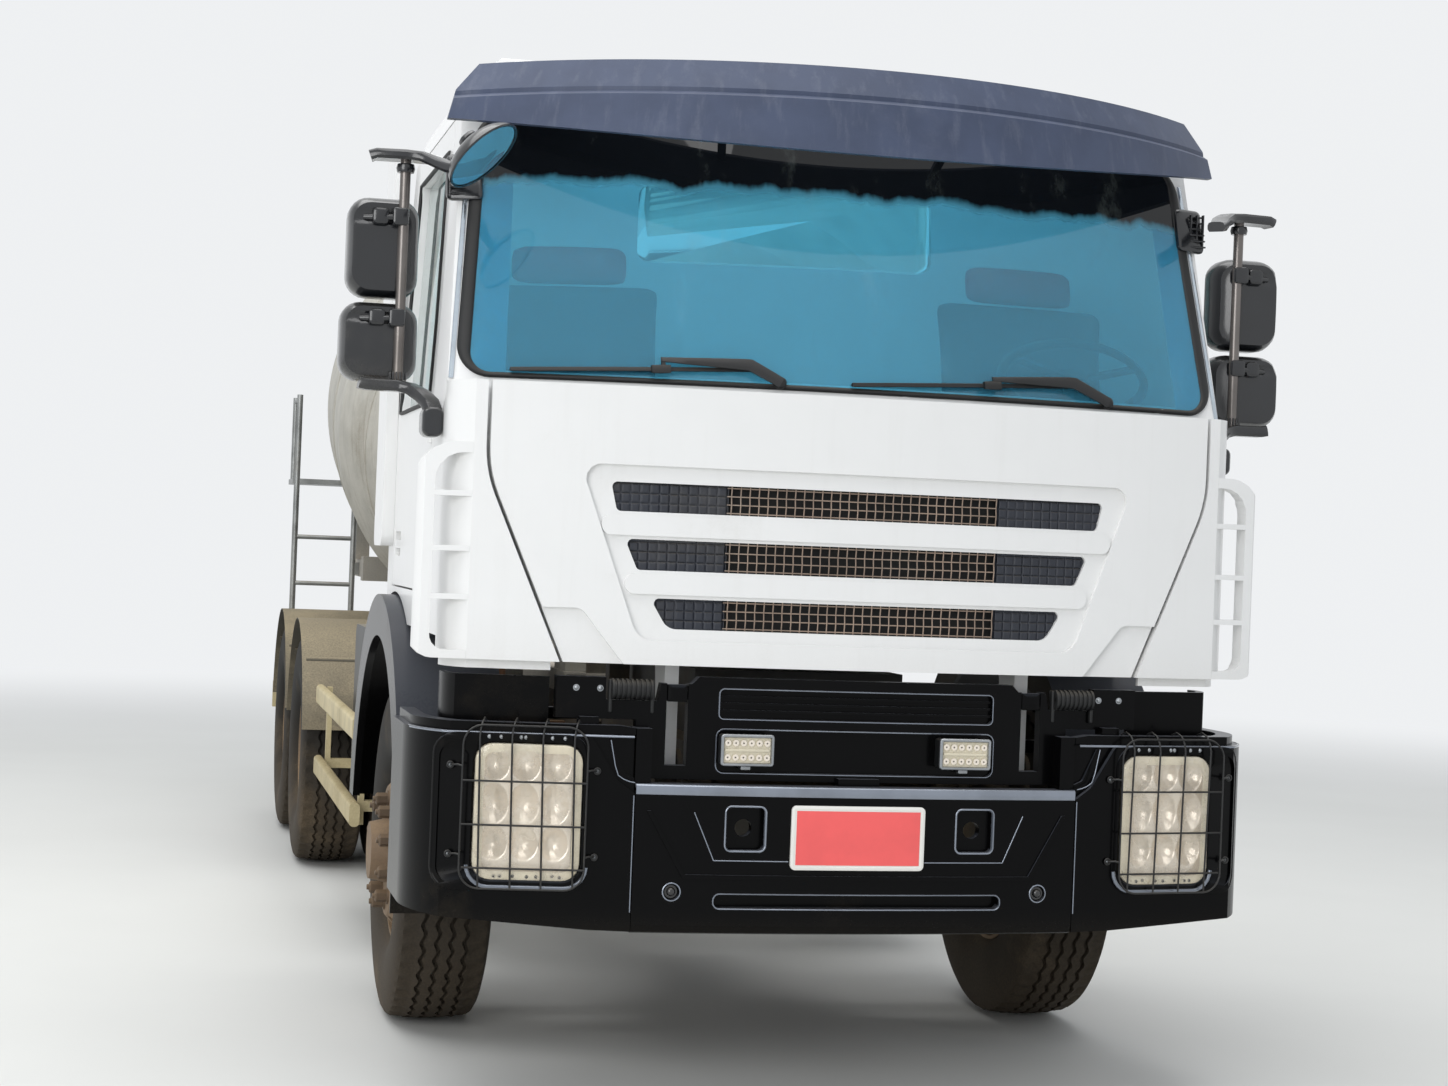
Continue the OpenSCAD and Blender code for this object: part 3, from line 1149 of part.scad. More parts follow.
// A tyre about its own axis, its middle at Z 0
module tyre_solid() rotate_extrude() polygon([[rim_r, -rim_w / 2], [rim_r + 60, -tyre_w / 2 + 6], [rim_r + 150, -tyre_w / 2],
    [tyre_r - 40, -tyre_w / 2 + 12], [tyre_r - 8, -tyre_w / 2 + 30], [tyre_r, -tyre_w / 4], [tyre_r, tyre_w / 4],
    [tyre_r - 8, tyre_w / 2 - 30], [tyre_r - 40, tyre_w / 2 - 12], [rim_r + 150, tyre_w / 2],
    [rim_r + 60, tyre_w / 2 - 6], [rim_r, rim_w / 2]]);
// A rim barrel with its mounting disc at a height
module rim_solid(disc_z, disc_side) {
    rotate_extrude() polygon([[rim_r - 12, -rim_w / 2], [rim_r - seat_gap, -rim_w / 2], [rim_r - seat_gap, rim_w / 2],
        [rim_r - 12, rim_w / 2]]);
    rotate_extrude() polygon([[hub_r - 20, disc_z], [210, disc_z], [rim_r - 11, disc_z - disc_side * 60],
        [rim_r - 11, disc_z - disc_side * 72], [205, disc_z - disc_side * 12], [hub_r - 20, disc_z - disc_side * 12]]);
}
// Wheels turn about X; outward is +Z before this
module wheel_at(x, y) translate([x, y, axle_z]) rotate([0, 90, 0]) children();
front_x = front_track / 2;
hand_hole_at = 240;
hand_hole_r = 24;
module front_rim() {
    difference() {
        union() {
            rim_solid(rim_w / 2 + 26, 1);
            translate([0, 0, -40]) cylinder(h = rim_w / 2 + 66, r = hub_r);
            translate([0, 0, rim_w / 2 + 25]) cylinder(h = 60, r1 = 105, r2 = 92);
            for (a = [0:nut_count - 1]) rotate([0, 0, a * 360 / nut_count]) translate([nut_circle_r, 0, rim_w / 2 + 25])
                cylinder(h = 38, r = 17);
        }
        translate([0, 0, -200]) cylinder(h = 360, r = spindle_r - 15 + pin_fit);
        for (a = [0:nut_count - 1]) rotate([0, 0, (a + 0.5) * 360 / nut_count]) translate([hand_hole_at, 0, 0])
            cylinder(h = rim_w, r = hand_hole_r);
    }
}
module front_tyre_left() color("#232323") placed() wheel_at(front_x, 0) tyre_solid();
module front_tyre_right() mirror([1, 0, 0]) front_tyre_left();
module front_rim_left() color("#7d6450") placed() wheel_at(front_x, 0) front_rim();
module front_rim_right() mirror([1, 0, 0]) front_rim_left();

// A rear twin wheel: two tyres on two rims that meet at their discs
module twin_wheel(y) color("#232323") placed() wheel_at(rear_x, y) {
    for (s = [-1, 1]) translate([0, 0, s * twin_pitch / 2]) tyre_solid();
    color("#7d6450") difference() {
        union() {
            for (s = [-1, 1]) translate([0, 0, s * twin_pitch / 2]) rim_solid(-s * twin_pitch / 2 + s * 12, -s);
            translate([0, 0, -hub_half]) cylinder(h = 2 * hub_half, r = hub_r);
            for (a = [0:nut_count - 1]) rotate([0, 0, a * 360 / nut_count]) translate([nut_circle_r, 0, 11])
                cylinder(h = 40, r = 17);
        }
        translate([0, 0, -hub_half - 1]) cylinder(h = 2 * hub_half + 2, r = spindle_r + pin_fit);
    }
}
module rear_wheel_1_left() twin_wheel(axle_1_y);
module rear_wheel_1_right() mirror([1, 0, 0]) twin_wheel(axle_1_y);
module rear_wheel_2_left() twin_wheel(axle_2_y);
module rear_wheel_2_right() mirror([1, 0, 0]) twin_wheel(axle_2_y);

// Swivel of the chute on its post, with the fork for the chute's pins and the ear for the jack
post_r = 50;
swivel_z0 = rail_bottom + 100;
swivel_z1 = rail_bottom + 500;
fork_z = swivel_z1 + 5;
fork_x = 245;
chute_pin_r = 18;
jack_y = swing_y + 120;
jack_z = 680;
jack_pin_r = 10;
ear_x = 34;
module chute_swivel() color("#8a8982") placed() {
    difference() {
        union() {
            translate([0, swing_y, swivel_z0]) cylinder(h = swivel_z1 - swivel_z0 + 5, r = post_r + 20);
            box([-fork_x - 20, swing_y - 60, fork_z], [fork_x + 20, swing_y + 60, fork_z + 18]);
            both_sides() {
                side_cut(ear_x, ear_x + 16)
                    polygon([[swing_y + 30, swivel_z0 + 2], [swing_y + 78, swivel_z0 + 2], [jack_y - 35, jack_z - 30],
                        [jack_y + 30, jack_z - 30], [jack_y + 30, jack_z + 40], [swing_y + 60, swivel_z0 + 180],
                        [swing_y + 30, swivel_z0 + 180]]);
                box([fork_x, swing_y - 50, fork_z], [fork_x + 20, swing_y + 50, chute_pin_z + 50]);
            }
        }
        translate([0, swing_y, 0]) cylinder(h = swivel_z1 + pin_fit, r = post_r + pin_fit);
        bar_x(-400, 400, swing_y, chute_pin_z, chute_pin_r + pin_fit);
    }
    bar_x(-50, 50, jack_y, jack_z, jack_pin_r);
}

// The chute's own frame: its origin at the tilting pins, its Y down the chute, its Z up from the floor
module along_chute() translate([0, swing_y, chute_pin_z]) rotate([-chute_slope, 0, 0]) children();
module trough(y0, y1) rotate([-90, 0, 0]) translate([0, 0, y0]) linear_extrude(y1 - y0) difference() {
    circle(chute_r + sheet_t);
    circle(chute_r);
    translate([-400, -800]) square([800, 800]);
}
fold_y = chute_len + 18;
fold_pin_r = 11;
ear_out = chute_r + sheet_t + 16;
jack_eye_y = 900;
jack_eye_z = -chute_r - sheet_t - 40;
module chute() color("#a09e96") placed() along_chute() {
    trough(-150, chute_len);
    both_sides() {
        box([chute_r + 1, -40, -40], [chute_r + 19, 40, 0]);
        bar_x(chute_r + 4, fork_x + 20, 0, 0, chute_pin_r);
        // Ears of the extension's hinge
        box([chute_r + sheet_t + 1, chute_len - 60, -40], [ear_out, fold_y + 22, fold_z + 18]);
        box([chute_r + 2, chute_len - 60, -40], [ear_out, chute_len - 2, -8]);
        bar_x(ear_out - 5, ear_out + 30, fold_y, fold_z, fold_pin_r);
        // Ears of the jack's eye
        box([22, jack_eye_y - 25, jack_eye_z - 22], [34, jack_eye_y + 25, -chute_r - 1]);
    }
    bar_x(-34, 34, jack_eye_y, jack_eye_z, jack_pin_r);
}
module chute_extension() color("#a09e96") placed() along_chute() difference() {
    translate([0, fold_y, fold_z]) rotate([180, 0, 0]) union() {
        trough_at_fold();
        both_sides() {
            box([ear_out + 2, -20, -24], [ear_out + 20, 150, 16]);
            box([chute_r + 2, 95, -24], [ear_out + 20, 150, -8]);
        }
    }
    bar_x(-400, 400, fold_y, fold_z, fold_pin_r + pin_fit);
}
module trough_at_fold() translate([0, 0, -fold_z]) trough(18, 18 + extension_len);

// Jack between the swivel and the chute
function chute_point(y, z) = [0, swing_y + y * cos(chute_slope) + z * sin(chute_slope),
    chute_pin_z - y * sin(chute_slope) + z * cos(chute_slope)];
jack_top = chute_point(jack_eye_y, jack_eye_z);
jack_len = norm([jack_top[1] - jack_y, jack_top[2] - jack_z]);
jack_lean = atan2(jack_top[1] - jack_y, jack_top[2] - jack_z);
// At rest the rod's tail is this far up its barrel
rod_tail = 97;
barrel_len = jack_len - rod_tail - 10;
module along_jack() translate([0, jack_y, jack_z]) rotate([-jack_lean, 0, 0]) children();
module jack_barrel() color("#6d6c66") placed() along_jack() difference() {
    union() {
        cylinder(h = barrel_len, r = 28);
        bar_x(-ear_x + 1, ear_x - 1, 0, 0, 28);
    }
    bar_x(-60, 60, 0, 0, jack_pin_r + pin_fit);
    translate([0, 0, 30]) cylinder(h = jack_len, r = 16 + pin_fit);
}
module jack_rod() color("#b9bbbd") placed() along_jack() difference() {
    union() {
        translate([0, 0, rod_tail]) cylinder(h = jack_len - rod_tail - jack_pin_r - 12, r = 16);
        bar_x(-21, 21, 0, jack_len, jack_pin_r + 20);
    }
    bar_x(-60, 60, 0, jack_len, jack_pin_r + 10);
}

frame();
engine();
front_axle();
rear_axles();
springs();
drive_shafts();
bumper();
lamps();
lamp_guards();
front_mudguards();
side_tanks();
water_tank();
exhaust();
rear_mudguards();
side_guards();
subframe();
front_pedestal();
rear_pedestal();
hopper();
ladder();
cab_shell();
cab_glass();
cab_side_panels();
sun_visor();
wipers();
seats();
dashboard();
mirrors();
door_right();
door_left();
door_glass_right();
door_glass_left();
front_flap();
grille_mesh();
steering_wheel();
knuckle_right();
knuckle_left();
track_rod();
front_tyre_right();
front_rim_right();
front_tyre_left();
front_rim_left();
rear_wheel_1_right();
rear_wheel_1_left();
rear_wheel_2_right();
rear_wheel_2_left();
drum();
roller_right();
roller_left();
chute_swivel();
chute();
chute_extension();
jack_barrel();
jack_rod();
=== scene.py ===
# %% [markdown]
# # Dressing the concrete mixer truck
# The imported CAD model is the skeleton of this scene. It comes in as a fixed frame, in metres, with the
# cab facing -Y. Each cell adds one group of pieces or finishes and says how it was made.

# %% Dressing the concrete mixer truck
import json
import math
import bmesh
import bpy
import numpy as np
from mathutils import Matrix, Vector


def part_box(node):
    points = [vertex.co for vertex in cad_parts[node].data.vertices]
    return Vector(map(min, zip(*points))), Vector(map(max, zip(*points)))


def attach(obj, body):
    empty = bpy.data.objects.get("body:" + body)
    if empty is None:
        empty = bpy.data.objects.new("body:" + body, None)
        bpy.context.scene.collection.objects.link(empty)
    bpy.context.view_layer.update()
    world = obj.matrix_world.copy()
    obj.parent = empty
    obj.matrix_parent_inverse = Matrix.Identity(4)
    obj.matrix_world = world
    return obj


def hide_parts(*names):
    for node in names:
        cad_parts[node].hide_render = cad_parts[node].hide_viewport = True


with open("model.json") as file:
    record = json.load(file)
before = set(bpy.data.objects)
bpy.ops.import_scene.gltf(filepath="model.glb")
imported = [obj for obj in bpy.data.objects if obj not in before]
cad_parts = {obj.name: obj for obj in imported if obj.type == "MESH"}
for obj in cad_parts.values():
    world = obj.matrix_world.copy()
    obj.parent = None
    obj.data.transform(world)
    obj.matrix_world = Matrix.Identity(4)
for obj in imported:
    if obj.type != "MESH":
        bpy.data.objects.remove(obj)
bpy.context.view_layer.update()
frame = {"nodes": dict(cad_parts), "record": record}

low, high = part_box("front_axle")
AXLE_Y = (low.y + high.y) / 2

# %% [markdown]
# ## Units and mesh helpers
# The photograph was measured in millimetres from the front axle, as the CAD source is. `place` turns such a
# point into the shared frame, so a number here can be compared with the same number in the source.


# %% Units and mesh helpers
def place(points):
    """Millimetres from the front axle to metres in the shared frame."""
    p = np.asarray(points, float).reshape(-1, 3) / 1000
    p[:, 1] += AXLE_Y
    return p


def shown(name, data):
    """An object in the scene for a mesh, a lamp or a camera."""
    obj = bpy.data.objects.new(name, data)
    bpy.context.scene.collection.objects.link(obj)
    return obj


def applied(obj):
    """The plain mesh that an object has after its modifiers."""
    deps = bpy.context.evaluated_depsgraph_get()
    return bpy.data.meshes.new_from_object(obj.evaluated_get(deps), depsgraph=deps)


def piece(name, verts, faces, material, body, slot=None, smooth=35):
    """One mesh piece that rides on a CAD body. Faces flatter than `smooth` degrees to each other shade smoothly."""
    mesh = bpy.data.meshes.new(name)
    mesh.from_pydata([tuple(v) for v in place(verts)], [], [tuple(f) for f in faces])
    mesh.validate()
    return settle(name, mesh, material, body, smooth)


def settle(name, mesh, material, body, smooth=35):
    """Puts a finished mesh into the scene with its material, shading and body."""
    bm = bmesh.new()
    bm.from_mesh(mesh)
    bmesh.ops.recalc_face_normals(bm, faces=bm.faces)
    bm.to_mesh(mesh)
    bm.free()
    mesh.polygons.foreach_set("use_smooth", [True] * len(mesh.polygons))
    mesh.set_sharp_from_angle(angle=math.radians(smooth))
    mesh.materials.clear()
    mesh.materials.append(material)
    obj = shown(name, mesh)
    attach(obj, body)
    return obj


def joined(parts):
    """Several (verts, faces) pairs as one."""
    verts, faces = [], []
    for v, f in parts:
        k = len(verts)
        verts.extend(list(map(tuple, v)))
        faces.extend([tuple(i + k for i in face) for face in f])
    return verts, faces


def grid(rings, closed=True, caps=False):
    """Quads between rings of points; `closed` joins each ring's last point to its first."""
    n = len(rings[0])
    verts = [tuple(p) for ring in rings for p in ring]
    faces = []
    for i in range(len(rings) - 1):
        for j in range(n if closed else n - 1):
            a, b = i * n + j, i * n + (j + 1) % n
            faces.append((a, b, b + n, a + n))
    if caps:
        faces.append(tuple(range(n))[::-1])
        faces.append(tuple(range((len(rings) - 1) * n, len(rings) * n)))
    return verts, faces


def tube(points, radius, sides=12, closed=False):
    """A round bar along a path of points."""
    p = [Vector(q) for q in points]
    rings, side = [], None
    for i, q in enumerate(p):
        before = p[i - 1] if (i or closed) else p[i]
        after = p[(i + 1) % len(p)] if (i < len(p) - 1 or closed) else p[i]
        along = (after - before).normalized()
        if side is None:
            side = along.orthogonal().normalized()
        side = (side - along * side.dot(along)).normalized()
        up = along.cross(side)
        rings.append([q + radius * (side * math.cos(a) + up * math.sin(a))
                      for a in (2 * math.pi * k / sides for k in range(sides))])
    if closed:
        rings.append(rings[0])
        return grid(rings)
    return grid(rings, caps=True)


def part_of(node, name, keep, material, body, smooth=35):
    """A piece made of those faces of a CAD node whose middle `keep` accepts (millimetres from the front axle)."""
    source = frame["nodes"][node].data
    bm = bmesh.new()
    bm.from_mesh(source)
    bmesh.ops.remove_doubles(bm, verts=bm.verts, dist=1e-6)
    away = []
    for f in bm.faces:
        c = f.calc_center_median()
        if not keep(c.x * 1000, (c.y - AXLE_Y) * 1000, c.z * 1000):
            away.append(f)
    bmesh.ops.delete(bm, geom=away, context="FACES")
    mesh = bpy.data.meshes.new(name)
    bm.to_mesh(mesh)
    bm.free()
    return settle(name, mesh, material, body, smooth)


print("the front axle's middle in the shared frame:", place([(0, 0, 0)])[0])

# %% [markdown]
# ## Camera
# The camera was solved from left-right pairs of points on the cab: it stands 7.9 m in front of the axle,
# 1.56 m up, turned 13.5 degrees to its right and rolled 2.3 degrees. A camera placed by eye would do for a
# picture; the solved one lets the render be laid over the photograph, so each piece can be checked.

# %% Camera
FOCAL_PIXELS, PHOTO_WIDTH, SENSOR = 2406.8, 1448, 36
STAND = (-1.973, -7.894 + AXLE_Y, 1.561)
yaw, pitch, roll = (math.radians(a) for a in (13.53, 0.16, 2.25))
forward = Vector((math.sin(yaw) * math.cos(pitch), math.cos(yaw) * math.cos(pitch), math.sin(pitch)))
right = Vector((math.cos(yaw), -math.sin(yaw), 0))
up = right.cross(forward)
side = right * math.cos(roll) + up * math.sin(roll)
top = up * math.cos(roll) - right * math.sin(roll)
lens = bpy.data.cameras.new("camera")
lens.sensor_width = SENSOR
lens.lens = FOCAL_PIXELS * SENSOR / PHOTO_WIDTH
lens.clip_end = 200
camera = shown("camera", lens)
camera.matrix_world = Matrix((
    (side.x, top.x, -forward.x, STAND[0]),
    (side.y, top.y, -forward.y, STAND[1]),
    (side.z, top.z, -forward.z, STAND[2]),
    (0, 0, 0, 1)))
bpy.context.scene.camera = camera
print("camera lens", round(lens.lens, 2), "mm")

# %% [markdown]
# ## Node helper
# Every material is a small node graph. `add` makes one node, sets it up and links it, so that a finish
# reads from top to bottom.


# %% Node helper
def linear(code):
    """A colour as it is seen on a screen, such as "f4f3ee", as the linear numbers that shaders want."""
    out = []
    for c in (int(code[i:i + 2], 16) / 255 for i in (0, 2, 4)):
        out.append(c / 12.92 if c <= 0.04045 else ((c + 0.055) / 1.055) ** 2.4)
    return (*out, 1.0)


def add(tree, kind, feeds=None, **settings):
    """One node. `settings` are its own properties, `feeds` its inputs: a value, or another node's output."""
    node = tree.nodes.new(kind)
    for key, value in settings.items():
        setattr(node, key, value)
    for key, value in (feeds or {}).items():
        socket = node.inputs[key]
        if isinstance(value, bpy.types.NodeSocket):
            tree.links.new(value, socket)
        else:
            socket.default_value = value
    return node


def noise(tree, where, scale, detail=4.0, rough=0.55, stretch=None):
    """Fractal noise from 0 to 1 in object space; `stretch` squeezes it along an axis for streaks."""
    if stretch:
        where = add(tree, "ShaderNodeVectorMath", {0: where, 1: stretch}, operation="MULTIPLY").outputs[0]
    return add(tree, "ShaderNodeTexNoise", {"Vector": where, "Scale": scale, "Detail": detail,
                                             "Roughness": rough}).outputs["Fac"]


def ramp(tree, value, lo, hi, out_lo=0.0, out_hi=1.0):
    """A smooth step of a value from one range to another."""
    return add(tree, "ShaderNodeMapRange", {0: value, 1: lo, 2: hi, 3: out_lo, 4: out_hi},
               interpolation_type="SMOOTHSTEP").outputs[0]


def calc(tree, operation, a, b=0.0, clamp=False):
    """One calculation with one or two values."""
    return add(tree, "ShaderNodeMath", {0: a, 1: b}, operation=operation, use_clamp=clamp).outputs[0]


def mix(tree, share, a, b):
    """A colour between two others."""
    return add(tree, "ShaderNodeMix", {"Factor": share, 6: a, 7: b}, data_type="RGBA").outputs[2]


def blank(name):
    """A new material: its tree, its shader, and the object's own coordinates as vector, height and upward slope."""
    m = bpy.data.materials.new(name)
    m.use_nodes = True
    tree = m.node_tree
    shader = tree.nodes["Principled BSDF"]
    where = add(tree, "ShaderNodeTexCoord").outputs["Object"]
    height = add(tree, "ShaderNodeSeparateXYZ", {0: where}).outputs[2]
    normal = add(tree, "ShaderNodeNewGeometry").outputs["Normal"]
    slope = add(tree, "ShaderNodeSeparateXYZ", {0: normal}).outputs[2]
    return m, tree, shader, where, height, slope


print("screen grey 808080 as shaders want it:", round(linear("808080")[0], 4))

# %% [markdown]
# ## Dusty finishes
# A working mixer is coated in cement dust. One recipe covers most paints and plastics: a base colour with
# slight blotches, and a dust layer that gathers on upward faces, low down, and in cloudy patches. Where dust
# lies the surface is duller and paler, so the same mask drives colour, roughness and bump.


# %% Dusty finishes
def dusty(name, base, rough, dust="a89a80", cover=0.3, low=(0.4, 1.6), top=0.5, blotch=0.06, grain=140.0,
          bump=0.05, metal=0.0, coat=0.0, streaks=0.0, specular=0.5, sky=None):
    """A paint or plastic under dust. `cover` is the share in the patches, `low` the heights between which the
    dust fades out, `top` how much lies on upward faces, `streaks` how strongly rain has run down it, and `sky`
    the colour of a painted reflection of the sky, which a glossy dark paint shows on faces turned upwards."""
    m, tree, shader, where, height, slope = blank(name)
    clouds = noise(tree, where, 2.2, 7, 0.62)
    fine = noise(tree, where, grain, 3, 0.6)
    near_ground = ramp(tree, height, low[0], low[1], 1.0, 0.0)
    patches = ramp(tree, clouds, 0.62 - 0.3 * cover, 0.78)
    mask = calc(tree, "MULTIPLY", patches, cover * 1.6)
    mask = calc(tree, "ADD", mask, calc(tree, "MULTIPLY", near_ground, cover * 1.2))
    mask = calc(tree, "ADD", mask, calc(tree, "MULTIPLY", ramp(tree, slope, 0.25, 0.95), top))
    if streaks:
        run = noise(tree, where, 9.0, 6, 0.6, stretch=(3.0, 3.0, 0.16))
        mask = calc(tree, "ADD", mask, calc(tree, "MULTIPLY", ramp(tree, run, 0.5, 0.72), streaks))
    speck = calc(tree, "MULTIPLY", mask, ramp(tree, fine, 0.2, 0.75, 0.55, 1.1), clamp=True)
    tint = linear(base)
    shade = tuple(c * (1 - 3 * blotch) for c in tint[:3]) + (1.0,)
    paint = mix(tree, ramp(tree, noise(tree, where, 7.0, 5), 0.35, 0.7), tint, shade)
    # painted reflection: faces turned upwards get the paler `sky` colour, standing in for the sky mirrored in glossy
    # dark paint
    if sky:
        paint = mix(tree, ramp(tree, slope, 0.12, 0.75), paint, linear(sky))
    colour = mix(tree, speck, paint, linear(dust))
    tree.links.new(colour, shader.inputs["Base Color"])
    dull = calc(tree, "MULTIPLY_ADD", speck, 0.85 - rough)
    dull.node.inputs[2].default_value = rough
    tree.links.new(dull, shader.inputs["Roughness"])
    relief = add(tree, "ShaderNodeBump", {"Strength": bump, "Distance": 0.004, "Height": fine})
    tree.links.new(relief.outputs[0], shader.inputs["Normal"])
    shader.inputs["Metallic"].default_value = metal
    shader.inputs["Coat Weight"].default_value = coat
    shader.inputs["Coat Roughness"].default_value = 0.08
    shader.inputs["Specular IOR Level"].default_value = specular
    return m


print("one recipe for dusty paint, plastic and metal")

# %% [markdown]
# ## The finishes of the CAD nodes
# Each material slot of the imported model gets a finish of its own: white gloss on the cab, black gloss on the
# bumper, faded plastic on the sun visor, cream paint on the side guards, and so on. A colour was judged against
# the photograph and written as a screen code. Lists of numbers read more easily here than a graph for each.

# %% The finishes of the CAD nodes
finish = {
    "cab_white": dusty("white gloss cab paint", "e9e9e8", 0.3, "8f8266", 0.08, (1.1, 1.4), 0.10, 0.004,
                       bump=0.012, coat=0.35, streaks=0.03, specular=0.4),
    # the black gloss's `sky` colour is a painted reflection: its upward faces are paler, as if they mirrored the sky
    "black_gloss": dusty("glossy black bumper plastic", "050506", 0.24, "6f6350", 0.06, (0.42, 0.58), 0.12, 0.05,
                         bump=0.02, coat=0.05, specular=0.08, sky="43474f"),
    "visor_plastic": dusty("faded dark grey visor plastic", "454e64", 0.42, "8c909c", 0.2, (0, 0.1), 0.05, 0.05,
                           streaks=0.14, specular=0.25),
    "black_plastic": dusty("textured black plastic", "131416", 0.45, "6f675a", 0.1, (0.4, 1.0), 0.2, 0.05,
                           grain=400.0, bump=0.12),
    "chassis_paint": dusty("dark chassis paint under road dirt", "24221f", 0.6, "7a6a52", 0.5, (0.4, 1.3), 0.5),
    "engine_metal": dusty("oily grey casting", "4a4a48", 0.55, "5a5040", 0.4, (0.4, 1.3), 0.4, metal=0.4),
    "lamp_lens": dusty("cream lamp glass", "e6dcc2", 0.12, "b8a888", 0.1, (0.2, 0.6), 0.1, coat=1.0),
    "black_wire": dusty("black enamelled wire", "0f1012", 0.35, "5f574a", 0.1, (0.4, 0.9), 0.2),
    "tank_grey": dusty("dark grey tank paint", "3a3d40", 0.45, "8f8672", 0.3, (0.4, 1.3), 0.6, streaks=0.15),
    "water_tank_paint": dusty("pale tank paint", "bdbbb2", 0.45, "9a8e76", 0.3, (0.8, 1.8), 0.6, streaks=0.2),
    "exhaust_steel": dusty("rusted silencer steel", "6a4a34", 0.75, "8a7458", 0.4, (0.4, 1.4), 0.4, 0.2, metal=0.3,
                           bump=0.3),
    "mudguard_plastic": dusty("dusty mudguard plastic", "35342f", 0.6, "958970", 0.6, (0.4, 1.3), 0.8),
    "guard_paint": dusty("cream paint under cement dust", "cdbf97", 0.5, "93845f", 0.4, (0.4, 1.0), 0.6, 0.08),
    "mixer_paint": dusty("grey mixer paint with concrete splashes", "8b8a83", 0.5, "b5ada0", 0.5, (0.8, 2.4), 0.6,
                         streaks=0.35, bump=0.25),
    "galvanised": dusty("galvanised steel", "9a9c9b", 0.42, "9a8e78", 0.2, (0.8, 1.8), 0.4, 0.12, metal=0.8),
    "dash_plastic": dusty("grained dashboard plastic", "2c2e31", 0.55, "6f675a", 0.1, (0, 0.1), 0.3, grain=500.0,
                          bump=0.3),
    "rim_steel": dusty("brown dusted rim", "6d5a49", 0.6, "8c7559", 0.6, (0.1, 1.2), 0.4, 0.12, bump=0.2),
    "tyre_rubber": dusty("dusty tyre rubber", "1e1d1b", 0.8, "6b5c48", 0.35, (-0.2, 0.9), 0.25, 0.1, bump=0.15,
                         specular=0.3),
    "drum_paint": dusty("pale drum paint with cement streaks", "b9b6ac", 0.45, "8f887a", 0.4, (1.0, 2.6), 0.3, 0.06,
                        streaks=0.35, bump=0.2),
    "roller_steel": dusty("worn roller steel", "8f8b84", 0.35, "7a705f", 0.2, (0.8, 2.0), 0.2, metal=0.9),
    "seat_fabric": dusty("dark seat cloth", "2f3237", 0.9, "5f5a50", 0.1, (0, 0.1), 0.1, grain=700.0, bump=0.4,
                         specular=0.2),
}
print(len(finish), "dusty finishes")

# %% [markdown]
# ## Tinted glass
# The screen is teal. Its top band is dark with a ragged lower edge where dust and rain have marked it: partly a
# printed tint band, partly painted shade, the sun visor's shadow.
# Band and dirt could be sheets of their own in front of the pane. They are masks in its one shader instead,
# because two sheets that nearly touch flicker and cast shadows on each other.


# %% Tinted glass
BAND_EDGE = (2.63, 2.67)


def tinted_glass(name, tint, clear, banded):
    """Glass whose tint and film show as one: `clear` is the share of the light that passes."""
    m, tree, shader, where, height, _ = blank(name)
    wave = noise(tree, where, 6.0, 5, 0.6, stretch=(1.0, 1.0, 0.2))
    edge = calc(tree, "ADD", height, calc(tree, "MULTIPLY", wave, 0.10))
    inside = add(tree, "ShaderNodeSeparateXYZ", {0: where}).outputs[1]
    rear = ramp(tree, inside, AXLE_Y - 0.4, AXLE_Y - 0.3)
    on_screen = calc(tree, "SUBTRACT", float(banded), rear)
    band = calc(tree, "MULTIPLY", ramp(tree, edge, *BAND_EDGE), on_screen, clamp=True)
    run = noise(tree, where, 7.0, 8, 0.7, stretch=(1.0, 1.0, 0.35))
    film = ramp(tree, run, 0.52, 0.85, 0.0, 0.16)
    colour = mix(tree, rear, linear(tint), linear("f4fffd"))
    # the dark band is partly print and partly painted shade of the sun visor
    colour = mix(tree, band, colour, linear("0e1114"))
    tree.links.new(mix(tree, film, colour, linear("b9c7c0")), shader.inputs["Base Color"])
    passing = calc(tree, "MAXIMUM", calc(tree, "SUBTRACT", clear, film), calc(tree, "MULTIPLY", rear, 0.95))
    see = calc(tree, "MULTIPLY", calc(tree, "SUBTRACT", 1.0, band), passing)
    tree.links.new(see, shader.inputs["Transmission Weight"])
    tree.links.new(ramp(tree, film, 0.0, 0.16, 0.02, 0.25), shader.inputs["Roughness"])
    shader.inputs["IOR"].default_value = 1.45
    return m


finish["cab_glass"] = tinted_glass("blue-green tinted screen glass", "6fcff0", 0.8, True)
side_glass = tinted_glass("pale tinted door glass", "a9e6ea", 0.9, False)
for entry in frame["record"]["subparts"]:
    node = frame["nodes"][entry["node"]]
    look = side_glass if entry["node"].startswith("door_glass") else finish[entry["material_slot"]]
    node.data.materials.clear()
    node.data.materials.append(look)

# %% [markdown]
# ## Tyres with road tread
# A tyre is one grid of points: columns across it, from bead to bead, and rows round it. The four tread
# grooves are columns pushed inwards, and they zigzag because each row shifts them the other way. Two of every
# four rows lie close together, and there the shoulders are cut by a slot. A bump map could only shade the
# grooves; as geometry they also break the tyre's outline.

# %% Tyres with road tread
TYRE_R, RIM_R, AXLE_Z = 538.0, 286.0, 538.0
SHOULDER_R, GROOVE, SLOT_DEPTH, BEAD_R = 530.0, 14.0, 9, 290
PITCHES, TWIN_HALF = 52, 170
SIDEWALL = [(112, 287), (122, 296), (133, 312), (142, 340), (148, 378), (150, 420), (149, 455), (145, 485),
            (139, 508), (130, 523)]


